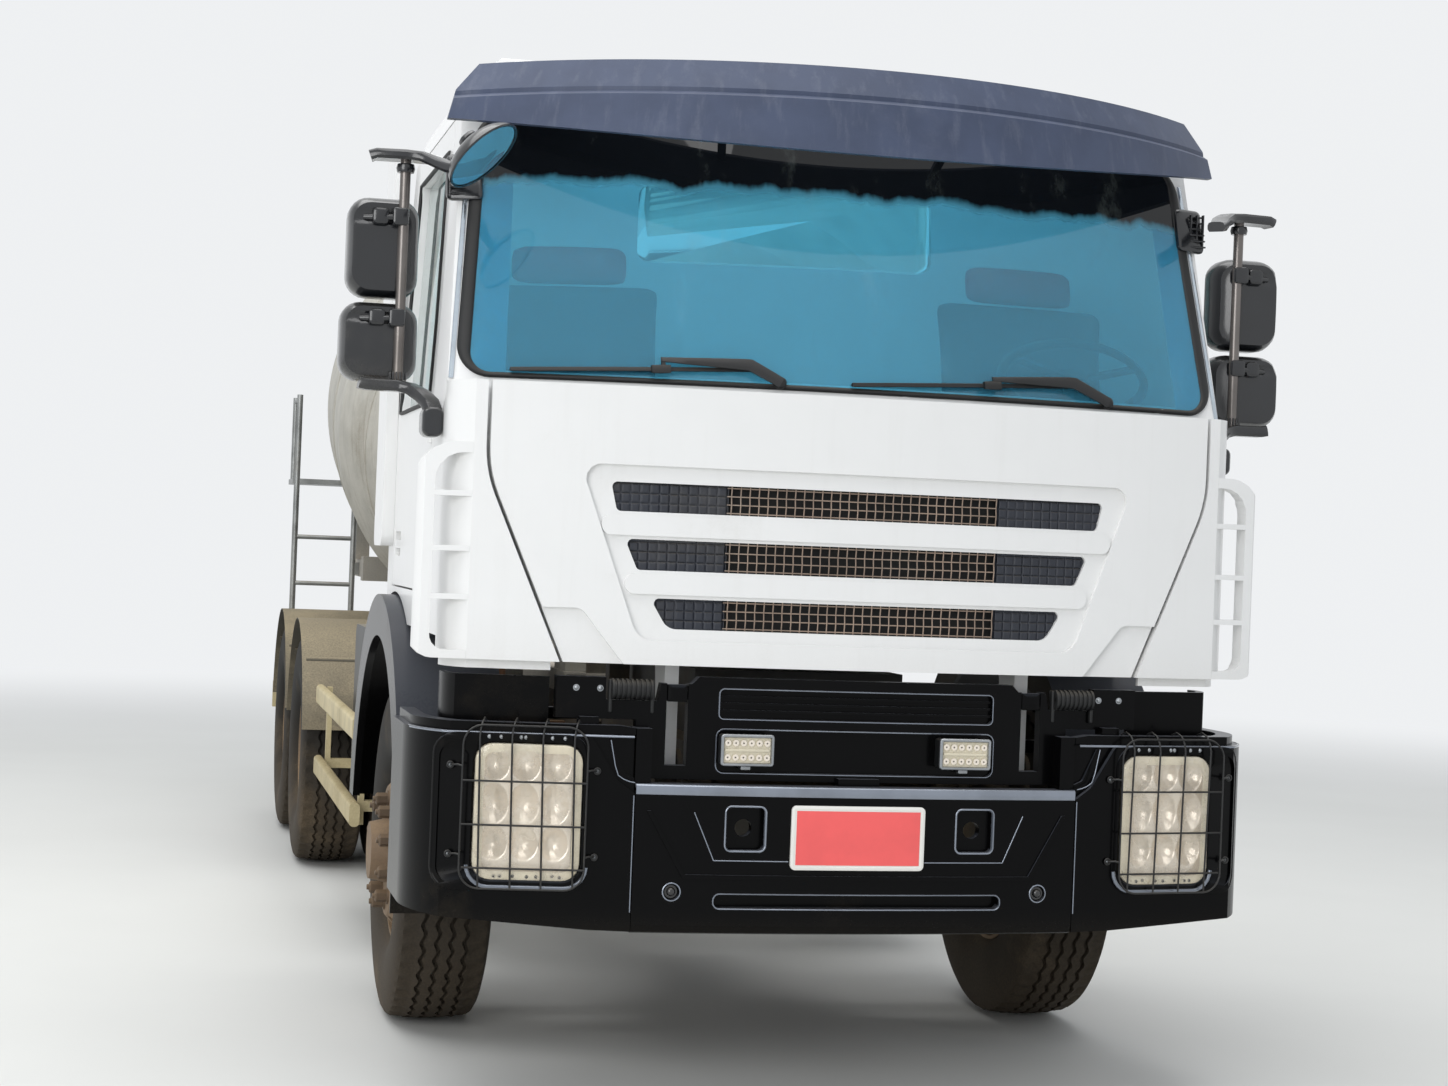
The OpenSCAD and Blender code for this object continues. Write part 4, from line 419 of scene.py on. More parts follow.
def tyre(x, y):
    """The points and faces of one tyre whose middle stands at (x, y)."""
    rings = []
    for k in range(PITCHES):
        for part, zig, slot in ((0.0, 1, True), (0.16, 1, True), (0.5, -1, False), (0.66, -1, False)):
            a = 2 * math.pi * (k + part) / PITCHES
            shoulder = [(u, SHOULDER_R + 0.05 * (118 - u) - (SLOT_DEPTH if slot and slotted else 0))
                        for u, slotted in ((118, True), (100, True), (84, False))]
            row = SIDEWALL + shoulder
            for g in (66, 22, -22, -66):
                mid = g + 5 * zig
                crown = TYRE_R - 5 * (g / 100) ** 2
                row += [(mid + 7, crown), (mid + 5, crown - GROOVE), (mid - 5, crown - GROOVE), (mid - 7, crown)]
            row += [(-u, r) for u, r in reversed(SIDEWALL + shoulder)]
            row += [(-100, BEAD_R), (100, BEAD_R)]
            rings.append([(x + u, y + r * math.cos(a), AXLE_Z + r * math.sin(a)) for u, r in row])
    rings.append(rings[0])
    return grid(rings)


def middle(node):
    """Middle of a CAD node, in millimetres from the front axle."""
    lo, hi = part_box(node)
    c = (lo + hi) / 2
    return c.x * 1000, (c.y - AXLE_Y) * 1000, c.z * 1000


for hand in ("right", "left"):
    node = "front_tyre_" + hand
    x, y, _ = middle(node)
    t = piece("road_tyre_front_" + hand, *tyre(x, y), finish["tyre_rubber"], "front_wheel_" + hand, "tyre_rubber", 40)
    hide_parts(node)
    for k in (1, 2):
        node = f"rear_wheel_{k}_{hand}"
        x, y, _ = middle(node)
        t = piece(f"road_tyres_rear_{k}_{hand}", *joined([tyre(x - TWIN_HALF, y), tyre(x + TWIN_HALF, y)]),
                  finish["tyre_rubber"], node, "tyre_rubber", 40)
        rims = part_of(node, f"twin_rims_{k}_{hand}",
                       lambda px, py, pz: math.hypot(py - y, pz - AXLE_Z) < RIM_R - 0.2,
                       finish["rim_steel"], node)
        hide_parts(node)
        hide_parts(node)
print("tyres with", PITCHES, "tread pitches each")

# %% [markdown]
# ## Finishes for the fittings
# The lamps, the number plate, the mirrors and the seats need finishes that no CAD node has: bright vapour
# coating, clear plastic, zinc-plated bolts, enamel, silvered glass and cloth. They use the same dusty recipe,
# so that old and new pieces look equally used. Only the lens differs: it lets most of the light through.

# %% Finishes for the fittings
bright = dusty("vapour-coated reflector", "f7ecdd", 0.25, "b9a68c", 0.12, (0, 0.1), 0.0, 0.03, bump=0.02, metal=0.45)
bolt_zinc = dusty("zinc-plated bolt steel", "a9adb1", 0.3, "8d8068", 0.15, (0.3, 0.7), 0.2, 0.08, metal=0.9)
bolt_black = dusty("black dome bolt", "16171a", 0.22, "7d705b", 0.1, (0.3, 0.7), 0.15, coat=0.6)
plate_red = dusty("red enamelled plate", "f55f5e", 0.35, "9b8f7c", 0.12, (0.3, 0.6), 0.1, 0.03, coat=0.4)
plate_white = dusty("white enamelled rim", "e9e7e1", 0.35, "9b8f7c", 0.12, (0.3, 0.6), 0.1, 0.01, coat=0.4)
rubber_black = dusty("black rubber seal", "121314", 0.6, "6b6252", 0.12, (0, 0.1), 0.25, 0.06, grain=300.0, bump=0.1)
mirror_black = dusty("polished black mirror housing", "16181c", 0.24, "6f6a60", 0.08, (0, 0.1), 0.12, coat=0.5)
pillar_chrome = dusty("polished pillar strip", "c9d3dc", 0.14, "8d8676", 0.08, (0, 0.1), 0.0, metal=0.95)
# painted highlight: a pale blue-grey metallic finish for edges that catch the light, with dust on it
painted_edge_highlight = dusty("painted edge highlight", "868d99", 0.16, "7d705b", 0.1, (0.3, 0.6), 0.1, metal=0.55, coat=0.6)
mirror_tube = dusty("grey-brown coated tube", "77726f", 0.3, "7f6f5c", 0.15, (0, 0.1), 0.1, 0.08, metal=0.8)
nut_steel = dusty("brown dusted nut steel", "62554a", 0.5, "8c7559", 0.35, (0.1, 1.2), 0.3, 0.1, metal=0.6, bump=0.15)
silver_glass = dusty("silvered mirror glass", "dfe4e6", 0.04, "a9a393", 0.06, (0, 0.1), 0.0, 0.0, metal=1.0, bump=0.0)
red_cloth = dusty("red seat cloth", "b93a42", 0.85, "8a6a60", 0.05, (0, 0.1), 0.05, 0.04, grain=650.0, bump=0.35,
                  specular=0.2)
waffle_plastic = dusty("dark blue-grey moulded plastic", "232731", 0.5, "7b7466", 0.14, (0, 0.1), 0.3, 0.05)
wire_rust = dusty("browned wire mesh", "a08c7c", 0.6, "b9ada0", 0.3, (0, 0.1), 0.1, 0.12)
# painted shade: a near-black finish for the sheet behind the grille's slots
painted_grille_shade = dusty("painted shade behind the grille", "060606", 0.85, "2b2822", 0.1, (0, 0.1), 0.1)
amber = dusty("amber lamp plastic", "d9790f", 0.15, "8f7f5a", 0.1, (0.3, 1.2), 0.1, coat=1.0)
ruby = dusty("red lamp plastic", "8e1418", 0.15, "7d5f4a", 0.1, (0.3, 1.2), 0.1, coat=1.0)


def clear_plastic(name, tint, solid, rough):
    """A thin clear cover: it shows what lies behind, with a film of dust that is thicker in patches."""
    m, tree, shader, where, _, _ = blank(name)
    film = ramp(tree, noise(tree, where, 9.0, 6, 0.6), 0.35, 0.8, solid * 0.7, min(1.0, solid * 1.9))
    tree.links.new(film, shader.inputs["Alpha"])
    colour = mix(tree, noise(tree, where, 30.0, 4), linear(tint), linear("cbbfa6"))
    tree.links.new(colour, shader.inputs["Base Color"])
    shader.inputs["Roughness"].default_value = rough
    shader.inputs["Coat Weight"].default_value = 1.0
    shader.inputs["Coat Roughness"].default_value = 0.05
    return m


lens_cover = clear_plastic("dusty polycarbonate lens", "efe9dc", 0.3, 0.12)
print("finishes for the fittings made")

# %% [markdown]
# ## Geometry Nodes helper
# Screws, nuts, wires and the like repeat, so one small tree makes each kind. Python gives the places as bare
# points, and the tree sets one item, built from its named sizes, on every point and turns it along the
# point's `aim`.


# %% Geometry Nodes helper
FRONT = (0, -1, 0)


def grown(name, points, build, sizes, material, body, aims=None, edges=(), smooth=35):
    """A piece from a node tree. `build(tree, places, size)` returns the geometry that stands on the places, and
    `aims` is the way in which all the items face, or one way for each of them."""
    tree = bpy.data.node_groups.new(name, "GeometryNodeTree")
    tree.interface.new_socket(name="Places", in_out="INPUT", socket_type="NodeSocketGeometry")
    tree.interface.new_socket(name="Geometry", in_out="OUTPUT", socket_type="NodeSocketGeometry")
    ids = {}
    for key, value in sizes.items():
        kind = "NodeSocketInt" if isinstance(value, int) else "NodeSocketFloat"
        ids[key] = tree.interface.new_socket(name=key, in_out="INPUT", socket_type=kind).identifier
    given = add(tree, "NodeGroupInput").outputs
    shape = build(tree, given["Places"], {key: given[key] for key in sizes})
    real = add(tree, "GeometryNodeRealizeInstances", {0: shape}).outputs[0]
    dressed = add(tree, "GeometryNodeSetMaterial", {"Geometry": real, "Material": material}).outputs[0]
    add(tree, "NodeGroupOutput", {0: dressed})
    mesh = bpy.data.meshes.new(name + "_places")
    mesh.from_pydata([tuple(p) for p in place(points)], list(edges), [])
    if aims is not None:
        store = mesh.attributes.new("aim", "FLOAT_VECTOR", "POINT")
        store.data.foreach_set("vector", np.broadcast_to(np.asarray(aims, float), (len(points), 3)).reshape(-1))
    host = shown(name + "_host", mesh)
    modifier = host.modifiers.new(name, "NODES")
    modifier.node_group = tree
    for key, value in sizes.items():
        modifier[ids[key]] = value
    plain = applied(host)
    bpy.data.objects.remove(host)
    return settle(name, plain, material, body, smooth)


def on_points(tree, places, item):
    """Stands an item on every point, its +Z along the point's aim."""
    aim = add(tree, "GeometryNodeInputNamedAttribute", {"Name": "aim"}, data_type="FLOAT_VECTOR").outputs[0]
    turn = add(tree, "FunctionNodeAlignRotationToVector", {"Vector": aim}, axis="Z").outputs[0]
    stood = add(tree, "GeometryNodeInstanceOnPoints", {"Points": places, "Instance": item, "Rotation": turn})
    return stood.outputs[0]


def times(tree, value, factor):
    """A size of the item as a share of another."""
    return calc(tree, "MULTIPLY", value, factor)


def together(tree, parts):
    """Several meshes of one item as one."""
    both = add(tree, "GeometryNodeJoinGeometry")
    for part in parts:
        tree.links.new(part, both.inputs[0])
    return both.outputs[0]


def raised(tree, mesh, z):
    """A mesh lifted along its own item's axis."""
    shift = add(tree, "ShaderNodeCombineXYZ", {0: 0.0, 1: 0.0, 2: z}).outputs[0]
    return add(tree, "GeometryNodeTransform", {"Geometry": mesh, "Translation": shift}).outputs[0]


def cone(tree, low, high, tall, sides, base=0.0):
    """A frustum that stands on `base`."""
    made = add(tree, "GeometryNodeMeshCone", {"Vertices": sides, "Radius Top": high, "Radius Bottom": low,
                                              "Depth": tall}).outputs["Mesh"]
    return raised(tree, made, base)


print("helpers for node trees: grown, on_points, together, raised, cone")

# %% [markdown]
# ## Bolts, nuts and wires
# Three kinds of item serve the whole truck: a washer with a domed head, a nut with its washer and the stud's
# end, and a round wire. The real ones differ by a millimetre here and there. One tree for each kind with its
# sizes as inputs is enough, and a nut is built from frustums because each of its edges then has a chamfer.


# %% Bolts, nuts and wires
def dome_bolt(tree, places, size):
    """A washer with a domed head on it."""
    r, tall = size["radius"], size["height"]
    washer = cone(tree, r, r, times(tree, tall, 0.3), 20)
    head = add(tree, "GeometryNodeMeshUVSphere", {"Segments": 20, "Rings": 12, "Radius": times(tree, r, 0.72)})
    flat = add(tree, "ShaderNodeCombineXYZ", {0: 1.0, 1: 1.0, 2: calc(tree, "DIVIDE", tall, r)}).outputs[0]
    head = add(tree, "GeometryNodeTransform", {"Geometry": head.outputs["Mesh"], "Scale": flat}).outputs[0]
    head = raised(tree, head, times(tree, tall, 0.3))
    return on_points(tree, places, together(tree, (washer, head)))


def hex_nut(tree, places, size):
    """A washer, a six-sided nut and the stud's round end."""
    r, tall = size["radius"], size["height"]
    washer = cone(tree, times(tree, r, 1.35), times(tree, r, 1.3), times(tree, tall, 0.2), 18)
    nut = cone(tree, r, r, times(tree, tall, 0.8), 6, times(tree, tall, 0.2))
    chamfer = cone(tree, r, times(tree, r, 0.72), times(tree, tall, 0.12), 6, tall)
    stud = cone(tree, times(tree, r, 0.5), times(tree, r, 0.42), times(tree, tall, size["stud"]), 12, tall)
    return on_points(tree, places, together(tree, (washer, nut, chamfer, stud)))


def round_wire(tree, places, size):
    """A round bar swept along every run of edges."""
    path = add(tree, "GeometryNodeMeshToCurve", {"Mesh": places}).outputs[0]
    ring = add(tree, "GeometryNodeCurvePrimitiveCircle", {"Resolution": size["sides"], "Radius": size["radius"]})
    swept = add(tree, "GeometryNodeCurveToMesh", {"Curve": path, "Profile Curve": ring.outputs["Curve"],
                                                  "Fill Caps": True})
    return swept.outputs[0]


def wires(name, paths, radius, material, body, sides=8):
    """Round wires along several paths of points (millimetres)."""
    points, edges = [], []
    for path in paths:
        k = len(points)
        points.extend(path)
        edges.extend((k + i, k + i + 1) for i in range(len(path) - 1))
    return grown(name, points, round_wire, {"radius": radius / 1000, "sides": sides}, material, body,
                 edges=edges, smooth=60)


def bolts_on_face(name, points, radius, height, material):
    """Domed bolts of the chassis that all face forwards; the sizes are in millimetres."""
    sizes = {"radius": radius / 1000, "height": height / 1000}
    grown(name, points, dome_bolt, sizes, material, "chassis", FRONT)


print("node tree makers: dome_bolt, hex_nut, round_wire")

# %% [markdown]
# ## Surfaces of the front
# The bumper, the black panel and the white skin each follow a wide arc and a round corner, as in the source.
# `nose_y` gives that surface, so a lamp or a bolt lies on it and not in front of it or inside it.


# %% Surfaces of the front
ARC = 13000.0


def nose_y(x, front=-1475.0, half=1250.0, corner=330.0, off=0.0):
    """Y of a nose surface at a distance from the middle, `off` millimetres in front of it."""
    front, half, corner, x = front - off, half + off, corner + off, abs(x)
    arc = front + x * x / ARC
    bend = front + corner - math.sqrt(max(corner ** 2 - max(x - half + corner, 0.0) ** 2, 0.0))
    return max(arc, bend)


def panel_y(x, off=0.0):
    """Y of the black panel above the bumper."""
    return nose_y(x, -1400.0, 1170.0, 280.0, off)


def span(side, a, b):
    """Two distances from the middle as the lower and the upper x on one side of the truck."""
    return sorted((side * a, side * b))


print("bumper face at the middle, seam and lamp:", [round(nose_y(x)) for x in (0, 643, 990)])

# %% [markdown]
# ## Shapes from rings
# Lamps, lips, plates and housings all have a rectangular outline with round corners. `loop` draws it, and the
# shapes below are rings of such outlines: a lip runs round an opening, a cap closes it with a bulge, and a
# block is a box with rounded edges. Bevel modifiers would do too, but rings also bend along the bumper.


# %% Shapes from rings
def loop(x0, x1, z0, z1, r, inset=0.0, edge=6, arc=6):
    """Points (x, z) round a rectangle with round corners, drawn in by `inset`."""
    x0, x1, z0, z1, r = x0 + inset, x1 - inset, z0 + inset, z1 - inset, max(r - inset, 0.5)
    out = []
    corners = ((x1 - r, z0 + r, -90), (x1 - r, z1 - r, 0), (x0 + r, z1 - r, 90), (x0 + r, z0 + r, 180))
    for i, (cx, cz, start) in enumerate(corners):
        for k in range(arc + 1):
            a = math.radians(start + 90 * k / arc)
            out.append((cx + r * math.cos(a), cz + r * math.sin(a)))
        nx, nz, after = corners[(i + 1) % 4]
        a = math.radians(after)
        ex, ez = nx + r * math.cos(a), nz + r * math.sin(a)
        px, pz = out[-1]
        out.extend((px + (ex - px) * k / edge, pz + (ez - pz) * k / edge) for k in range(1, edge))
    return out


def lip(frame_box, steps, surface, side=1):
    """Rings round an opening on a surface: each step is (inset, depth behind the surface)."""
    return grid([[(side * x, surface(x) + depth, z) for x, z in loop(*frame_box, inset)] for inset, depth in steps])


def closed_lip(frame_box, steps, edge=6, arc=6):
    """Rings inside a flat outline, closed at both ends: each step is (inset, y)."""
    return grid([[(x, y, z) for x, z in loop(*frame_box, inset, edge, arc)] for inset, y in steps], caps=True)


def fan(rings, tip):
    """A grid whose last ring closes on one point."""
    verts, faces = grid(rings)
    verts.append(tip)
    n, k = len(rings[-1]), len(verts) - 1
    faces.extend((k - n + i, k - n + (i + 1) % n, k) for i in range(n))
    return verts, faces


def cap(frame_box, inset, depth, surface, side=1, bulge=0.0, rings=6):
    """A curved plate inside a rounded outline, standing out by `bulge` in its middle."""
    x0, x1, z0, z1, _ = frame_box
    cx, cz = (x0 + x1) / 2, (z0 + z1) / 2
    edge, out = loop(*frame_box, inset), []
    for s in (1 - k / rings for k in range(rings)):
        points = [(cx + (x - cx) * s, cz + (z - cz) * s) for x, z in edge]
        out.append([(side * x, surface(x) + depth - bulge * (1 - s ** 3), z) for x, z in points])
    return fan(out, (side * cx, surface(cx) + depth - bulge, cz))


def block(x0, x1, y0, y1, z0, z1, r=4.0):
    """A box whose edges are all rounded a little, as a casting's are."""
    steps = ((r, y0), (r * 0.3, y0 + r * 0.3), (0, y0 + r), (0, y1 - r), (r * 0.3, y1 - r * 0.3), (r, y1))
    return closed_lip((x0, x1, z0, z1, r * 1.5), steps, 1, 3)


def turned(profile, at, aim, sides=32):
    """A closed profile of (radius, height) points turned about an axis through `at` along `aim`."""
    aim = Vector(aim).normalized()
    u = aim.orthogonal().normalized()
    v = aim.cross(u)
    at = Vector(at)
    rings = []
    for k in range(sides + 1):
        a = 2 * math.pi * k / sides
        rings.append([at + aim * h + r * (u * math.cos(a) + v * math.sin(a)) for r, h in profile])
    return grid(rings, closed=False)


print("points round an outline:", len(loop(0, 100, 0, 100, 10)), "and in a block:", len(block(0, 9, 0, 9, 0, 9)[0]))

# %% [markdown]
# ## Headlamps
# Each headlamp is a cream lens in a deep black surround. Behind the lens, bowls stand in three columns and
# three rows, and their fluting makes the upright glints. The bowls are one surface whose depth follows a
# formula; the lens is a thin dusty cover, so the bowls show through it.

# %% Headlamps
BEZEL = (770.0, 1188.0, 610.0, 1041.0, 60.0)
LENS = (787.0, 1079.0, 640.0, 1014.0, 50.0)
COLUMNS = (816.0, 898.0, 981.0, 1064.0)
ROWS = (690.0, 790.0, 906.0, 1008.0)
BOWL_DEPTH, RAY_DEPTH, RAYS = 30, 1.6, 10


def bowls(side):
    """The reflector's face: round bowls in square cells, each with ten faint rays."""
    rows = []
    for z in np.linspace(646, ROWS[-1] + 2, 96):
        row = []
        for x in np.linspace(810, 1072, 84):
            i = min(max(np.searchsorted(COLUMNS, x) - 1, 0), 2)
            j = min(max(np.searchsorted(ROWS, z) - 1, 0), 2)
            u = 2 * (x - COLUMNS[i]) / (COLUMNS[i + 1] - COLUMNS[i]) - 1
            v = 2 * (z - ROWS[j]) / (ROWS[j + 1] - ROWS[j]) - 1
            r = math.hypot(u, v)
            fluting = RAY_DEPTH * math.cos(RAYS * math.atan2(v, u)) * min(r, max(1 - r, 0))
            deep = BOWL_DEPTH * max(0.0, 1 - (r / 0.97) ** 2) + fluting
            row.append((side * x, nose_y(x) + 14 + deep, z))
        rows.append(row)
    return grid(rows, closed=False)


surround, reflectors, covers, lips, flanks, screws, vents = [], [], [], [], [], [], []
for side in (-1, 1):
    rings = [[(side * x, nose_y(x) + d, z) for x, z in loop(*BEZEL, i)] for i, d in ((0, 1), (1, -2), (4, -3))]
    rings += [[(side * x, nose_y(x) + d, z) for x, z in loop(*LENS, i)] for i, d in ((-5, -3), (-1, -1), (1, 2))]
    surround.append(grid(rings))
    surround.append(cap((812, 1168, 634, 1012, 44), 3, 48, nose_y, side))
    reflectors.append(bowls(side))
    flanks.append(lip(LENS, ((2, 1), (3, -8), (12, -12), (26, -10)), nose_y, side))
    covers.append(lip(LENS, ((1, 1), (2, -9), (7, -13), (20, -15)), nose_y, side))
    covers.append(cap(LENS, 20, -15, nose_y, side, 3.0))
    edge = [(side * x, nose_y(x, off=3), z) for x, z in loop(770, 1092, 622, 1041, 58) if z < 700]
    edge.sort(key=lambda p: math.atan2(p[2] - 830, (p[0] * side - 931)))
    lips.append(edge)
    for x in (838, 872, 944, 956, 1010, 1042):
        screws.append((side * x, nose_y(x, off=2), 1030))
    for x in (842, 862, 905, 930, 968, 1002, 1018):
        vents.append((side * x, nose_y(x, off=12), 652 + 3 * math.sin(x)))
surrounds = piece("headlamp_surrounds", *joined(surround), finish["black_gloss"], "chassis", "black_gloss")
glow = piece("headlamp_reflectors", *joined(reflectors), bright, "chassis", "lamp_lens", 60)
piece("headlamp_flanks", *joined(flanks), finish["lamp_lens"], "chassis", "lamp_lens", 50)
cover = piece("headlamp_lenses", *joined(covers), lens_cover, "chassis", "lamp_lens", 50)
# the lips are a painted highlight: a pale metallic wire along the surround's lower edge, where it catches the light
wires("headlamp_lips", lips, 6.0, painted_edge_highlight, "chassis")
bolts_on_face("headlamp_screws", screws, 5.5, 4, bolt_zinc)
bolts_on_face("headlamp_vents", vents, 5, 2, bolt_black)
print("headlamps with", 2 * 9, "bowls and", len(screws), "screws")

# %% [markdown]
# ## Wire guards
# Each guard is a bent outer frame of round wire, four upright wires whose upper ends turn back over the
# bumper's ledge, and three across. Bolts with eyes hold it at both sides. A wire is a path with a round
# section, so each guard is only a list of paths, and one node tree sweeps them all.

# %% Wire guards
GUARD = (779.0, 1114.0, 619.0, 1062.0, 55.0)
guard_paths, eyes = [], []


def guard_y(x, off=26.0):
    """Y of a wire that stands in front of the bumper."""
    return nose_y(x, off=off)


for side in (-1, 1):
    ring = [(side * x, guard_y(x, 26 if z < 1040 else 20), z) for x, z in loop(*GUARD, 0, 8, 8)]
    guard_paths.append(ring + [ring[0], ring[1]])
    for x in (812, 897, 980, 1066):
        path = [(side * (x - 4 + k), guard_y(x, 24), 622 + 406 * k / 8) for k in range(9)]
        path += [(side * (x + 2), guard_y(x, 20), 1050), (side * (x - 4), guard_y(x, 12), 1070),
                 (side * (x - 12), guard_y(x, -6), 1080), (side * (x - 18), guard_y(x, -26), 1072)]
        guard_paths.append(path)
    for z, x1 in ((675, 1108), (792, 1113), (911, 1116)):
        xs = np.linspace(779, x1, 13)
        guard_paths.append([(side * x, guard_y(x), z) for x in xs])
    for x, z in ((779, 944), (779, 709), (1114, 950), (1112, 709)):
        out = -1 if x < 900 else 1
        foot = (side * (x + out * 30), nose_y(x + out * 30, off=3), z)
        guard_paths.append([(side * x, guard_y(x), z), (side * (x + out * 12), guard_y(x + out * 12, 22), z + 3),
                            (side * (x + out * 24), guard_y(x + out * 24, 12), z + 1), foot])
        guard_paths.append([(foot[0] + side * 8 * math.cos(a), nose_y(x + out * 30, off=6), foot[2] + 8 * math.sin(a))
                            for a in np.linspace(0, 2 * math.pi, 13)])
        eyes.append((foot[0], foot[1] + 2, foot[2]))
guards = wires("lamp_guard_wires", guard_paths, 2.9, finish["black_wire"], "chassis")
bolts_on_face("guard_bolts", eyes, 6, 6, bolt_zinc)
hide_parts("lamp_guards")
print("guards with", len(guard_paths), "wires")

# %% [markdown]
# ## Work lamps
# A work lamp is a steel-framed box with two rows of bright cups and a pale band between them, on a bracket.
# The cups repeat, so a node tree sets them. The case is rings drawn into a rounded outline, because a lamp made
# of plain boxes has razor edges, and thin blocks across it are its cooling fins.

# %% Work lamps
cases, frames, cups, bands = [], [], [], []


def flat_at(y):
    """A surface that stands upright at one y."""
    return lambda x: y


for side in (-1, 1):
    x0, x1 = (232.0, 384.0) if side > 0 else (-404.0, -252.0)
    z0, z1, face = 964.0, 1052.0, -1438.0
    box_of = (x0, x1, z0, z1, 9.0)
    cases.append(closed_lip(box_of, ((6, face + 62), (3, face + 60), (3, face + 12), (0, face + 10))))
    for k in range(9):
        x = x0 + 12 + k * (x1 - x0 - 24) / 8
        cases.append(block(x - 1.5, x + 1.5, face + 14, face + 61, z0 + 1, z1 - 1, 0.8))
    frames.append(lip(box_of, ((0, 12), (0, 2), (2, 0), (7, 0), (9, 3), (9, 9)), flat_at(face)))
    bands.append(cap(box_of, 9, 9, flat_at(face)))
    bands.append(block(x0 + 12, x1 - 12, face + 4.5, face + 9, (z0 + z1) / 2 - 4, (z0 + z1) / 2 + 4, 1.5))
    for j in (-1, 1):
        for k in range(6):
            cups.append((x0 + 20 + k * (x1 - x0 - 40) / 5, face + 9, (z0 + z1) / 2 + j * 20))
    frames.append(block((x0 + x1) / 2 - 14, (x0 + x1) / 2 + 14, face + 20, face + 46, z0 - 12, z0 + 2, 2))


def lamp_cup(tree, places, size):
    """A bright cup with a chip in its middle."""
    r, tall = size["radius"], size["height"]
    wall = cone(tree, times(tree, r, 0.35), r, tall, 14)
    chip = cone(tree, times(tree, r, 0.3), times(tree, r, 0.26), tall, 8)
    return on_points(tree, places, together(tree, (wall, chip)))


worklamp = piece("work_lamp_cases", *joined(cases), finish["black_plastic"], "chassis", "lamp_lens")
piece("work_lamp_frames", *joined(frames), bolt_zinc, "chassis", "lamp_lens")
piece("work_lamp_bands", *joined(bands), finish["lamp_lens"], "chassis", "lamp_lens")
led = grown("work_lamp_cups", cups, lamp_cup, {"radius": 0.009, "height": 0.0045}, bright, "chassis",
            FRONT)
print("work lamps with", len(cups), "cups")

# %% [markdown]
# ## Tail lamps
# A tail lamp has a red, an amber and a white field in a black frame on the rear bar. Each field is a shallow
# tray with a raised middle. The fields could share one mesh with three materials, but pieces of one finish each
# can be told apart and changed one by one.

# %% Tail lamps
tails = {"red": [], "amber": [], "white": [], "frame": []}
for side in (-1, 1):
    for kind, x0, x1 in (("red", 766, 884), ("amber", 886, 1004), ("white", 1006, 1124)):
        field = (*span(side, x0, x1), 556.0, 654.0, 8.0)
        tails[kind].append(closed_lip(field, ((0, 6640), (0, 6650), (3, 6654), (12, 6655))))
        tails[kind].append(closed_lip(field, ((24, 6654), (28, 6656), (34, 6656))))
    tails["frame"].append(block(*span(side, 760, 1130), 6620.6, 6646, 550, 660, 4))
tail_frames = piece("tail_lamp_frames", *joined(tails["frame"]), finish["black_plastic"], "chassis", "lamp_lens")
for kind, material in (("red", ruby), ("amber", amber), ("white", finish["lamp_lens"])):
    piece(f"tail_lamp_{kind}", *joined(tails[kind]), material, "chassis", "lamp_lens")
for part in (surrounds, glow, cover, worklamp, led, tail_frames):
    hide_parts("lamps")
print("tail lamps with", 2 * (len(tails) - 1), "fields")

# %% [markdown]
# ## Bumper fittings
# The bumper carries a blank red plate with a white rim, dome bolts in round recesses, and bright lips
# at the tow pockets, the slot and the slats. The lips are painted highlights, a pale metallic finish where the
# openings' rounded edges catch the light. They could be bevels of the bumper itself, but a CAD object keeps its
# mesh here, so they are thin rings laid round its openings.

# %% Bumper fittings
PLATE = (-206.0, 180.0, 684.0, 862.0, 14.0)
plate_back = grid([[(x, nose_y(x, off=o), z) for x, z in loop(*PLATE, i)]
                   for i, o in ((0, 0.5), (0, 9), (2, 10), (9, 10), (10, 9))])
piece("number_plate_rim", *joined([plate_back, cap(PLATE, 10, -9, nose_y)]), plate_white, "chassis", "black_gloss")
piece("number_plate_field", *cap(PLATE, 14, -9.6, nose_y), plate_red, "chassis", "black_gloss")
bolts, black_bolts = [], []
for side in (-1, 1):
    black_bolts.append((side * 533, nose_y(533) + 13.5, 618))
    for x in (735, 801):
        bolts.append((side * x, panel_y(x) + 0.5, 1166))
    for x in (297, 369):
        bolts.append((side * x, nose_y(x) + 39.5, 826))
bolts_on_face("dome_bolts", black_bolts, 18, 16, bolt_black)
bolts_on_face("panel_bolts", bolts, 9, 6, bolt_zinc)

rims, bores = [], []
for side in (-1, 1):
    pocket = (333 - 56, 333 + 56, 733, 855, 16)
    rims.append(lip(pocket, ((-4, 1.5), (-3, -1.2), (0, -2), (2, 0), (2, 12)), nose_y, side))
    bores.append(turned([(24.2, -2), (24.4, -5), (28, -6), (33, -5), (34, 0), (24.2, 0)],
                        (side * 333, nose_y(333) + 40, 794), (0, 1, 0), 40))
    recess = (533 - 23, 533 + 23, 595, 641, 22.9)
    rims.append(lip(recess, ((-4, 1), (-2, -1.2), (0, -1), (1, 2)), nose_y, side))
rims.append(lip((-416, 416, 574, 613, 17), ((-4, 1), (-2, -2), (0, -1.5), (1.5, 3)), nose_y))
rims.append(lip((-401, 401, 1091, 1173, 13), ((-4, 1), (-2, -1.8), (0, -1.5), (1, 3)), panel_y))
rims.append(lip((-406, 406, 941, 1061, 21), ((-4, 1), (-2, -1.5), (0, -1), (1, 3)), panel_y))
# painted highlight: the lips' pale metallic finish stands in for light caught on the openings' edges
piece("painted_highlight_lips", *joined(rims), painted_edge_highlight, "chassis", "black_gloss", 60)
piece("tow_bore_rings", *joined(bores), bolt_zinc, "chassis", "black_gloss")
print("plate,", len(bolts) + len(black_bolts), "bolts and", len(rims), "painted highlight lips")

# %% [markdown]
# ## Between the bumper and the cab
# Rubber-sleeved rollers of the cab's lock show in the notches beside the plates. A cover rides on each of the
# cab's hinge arms and closes the top of the panel's slot; it ends where the arm's swing would foul the slot.
# A ribbed sleeve is one outline turned about its axis, which is shorter than a ring for each rib.

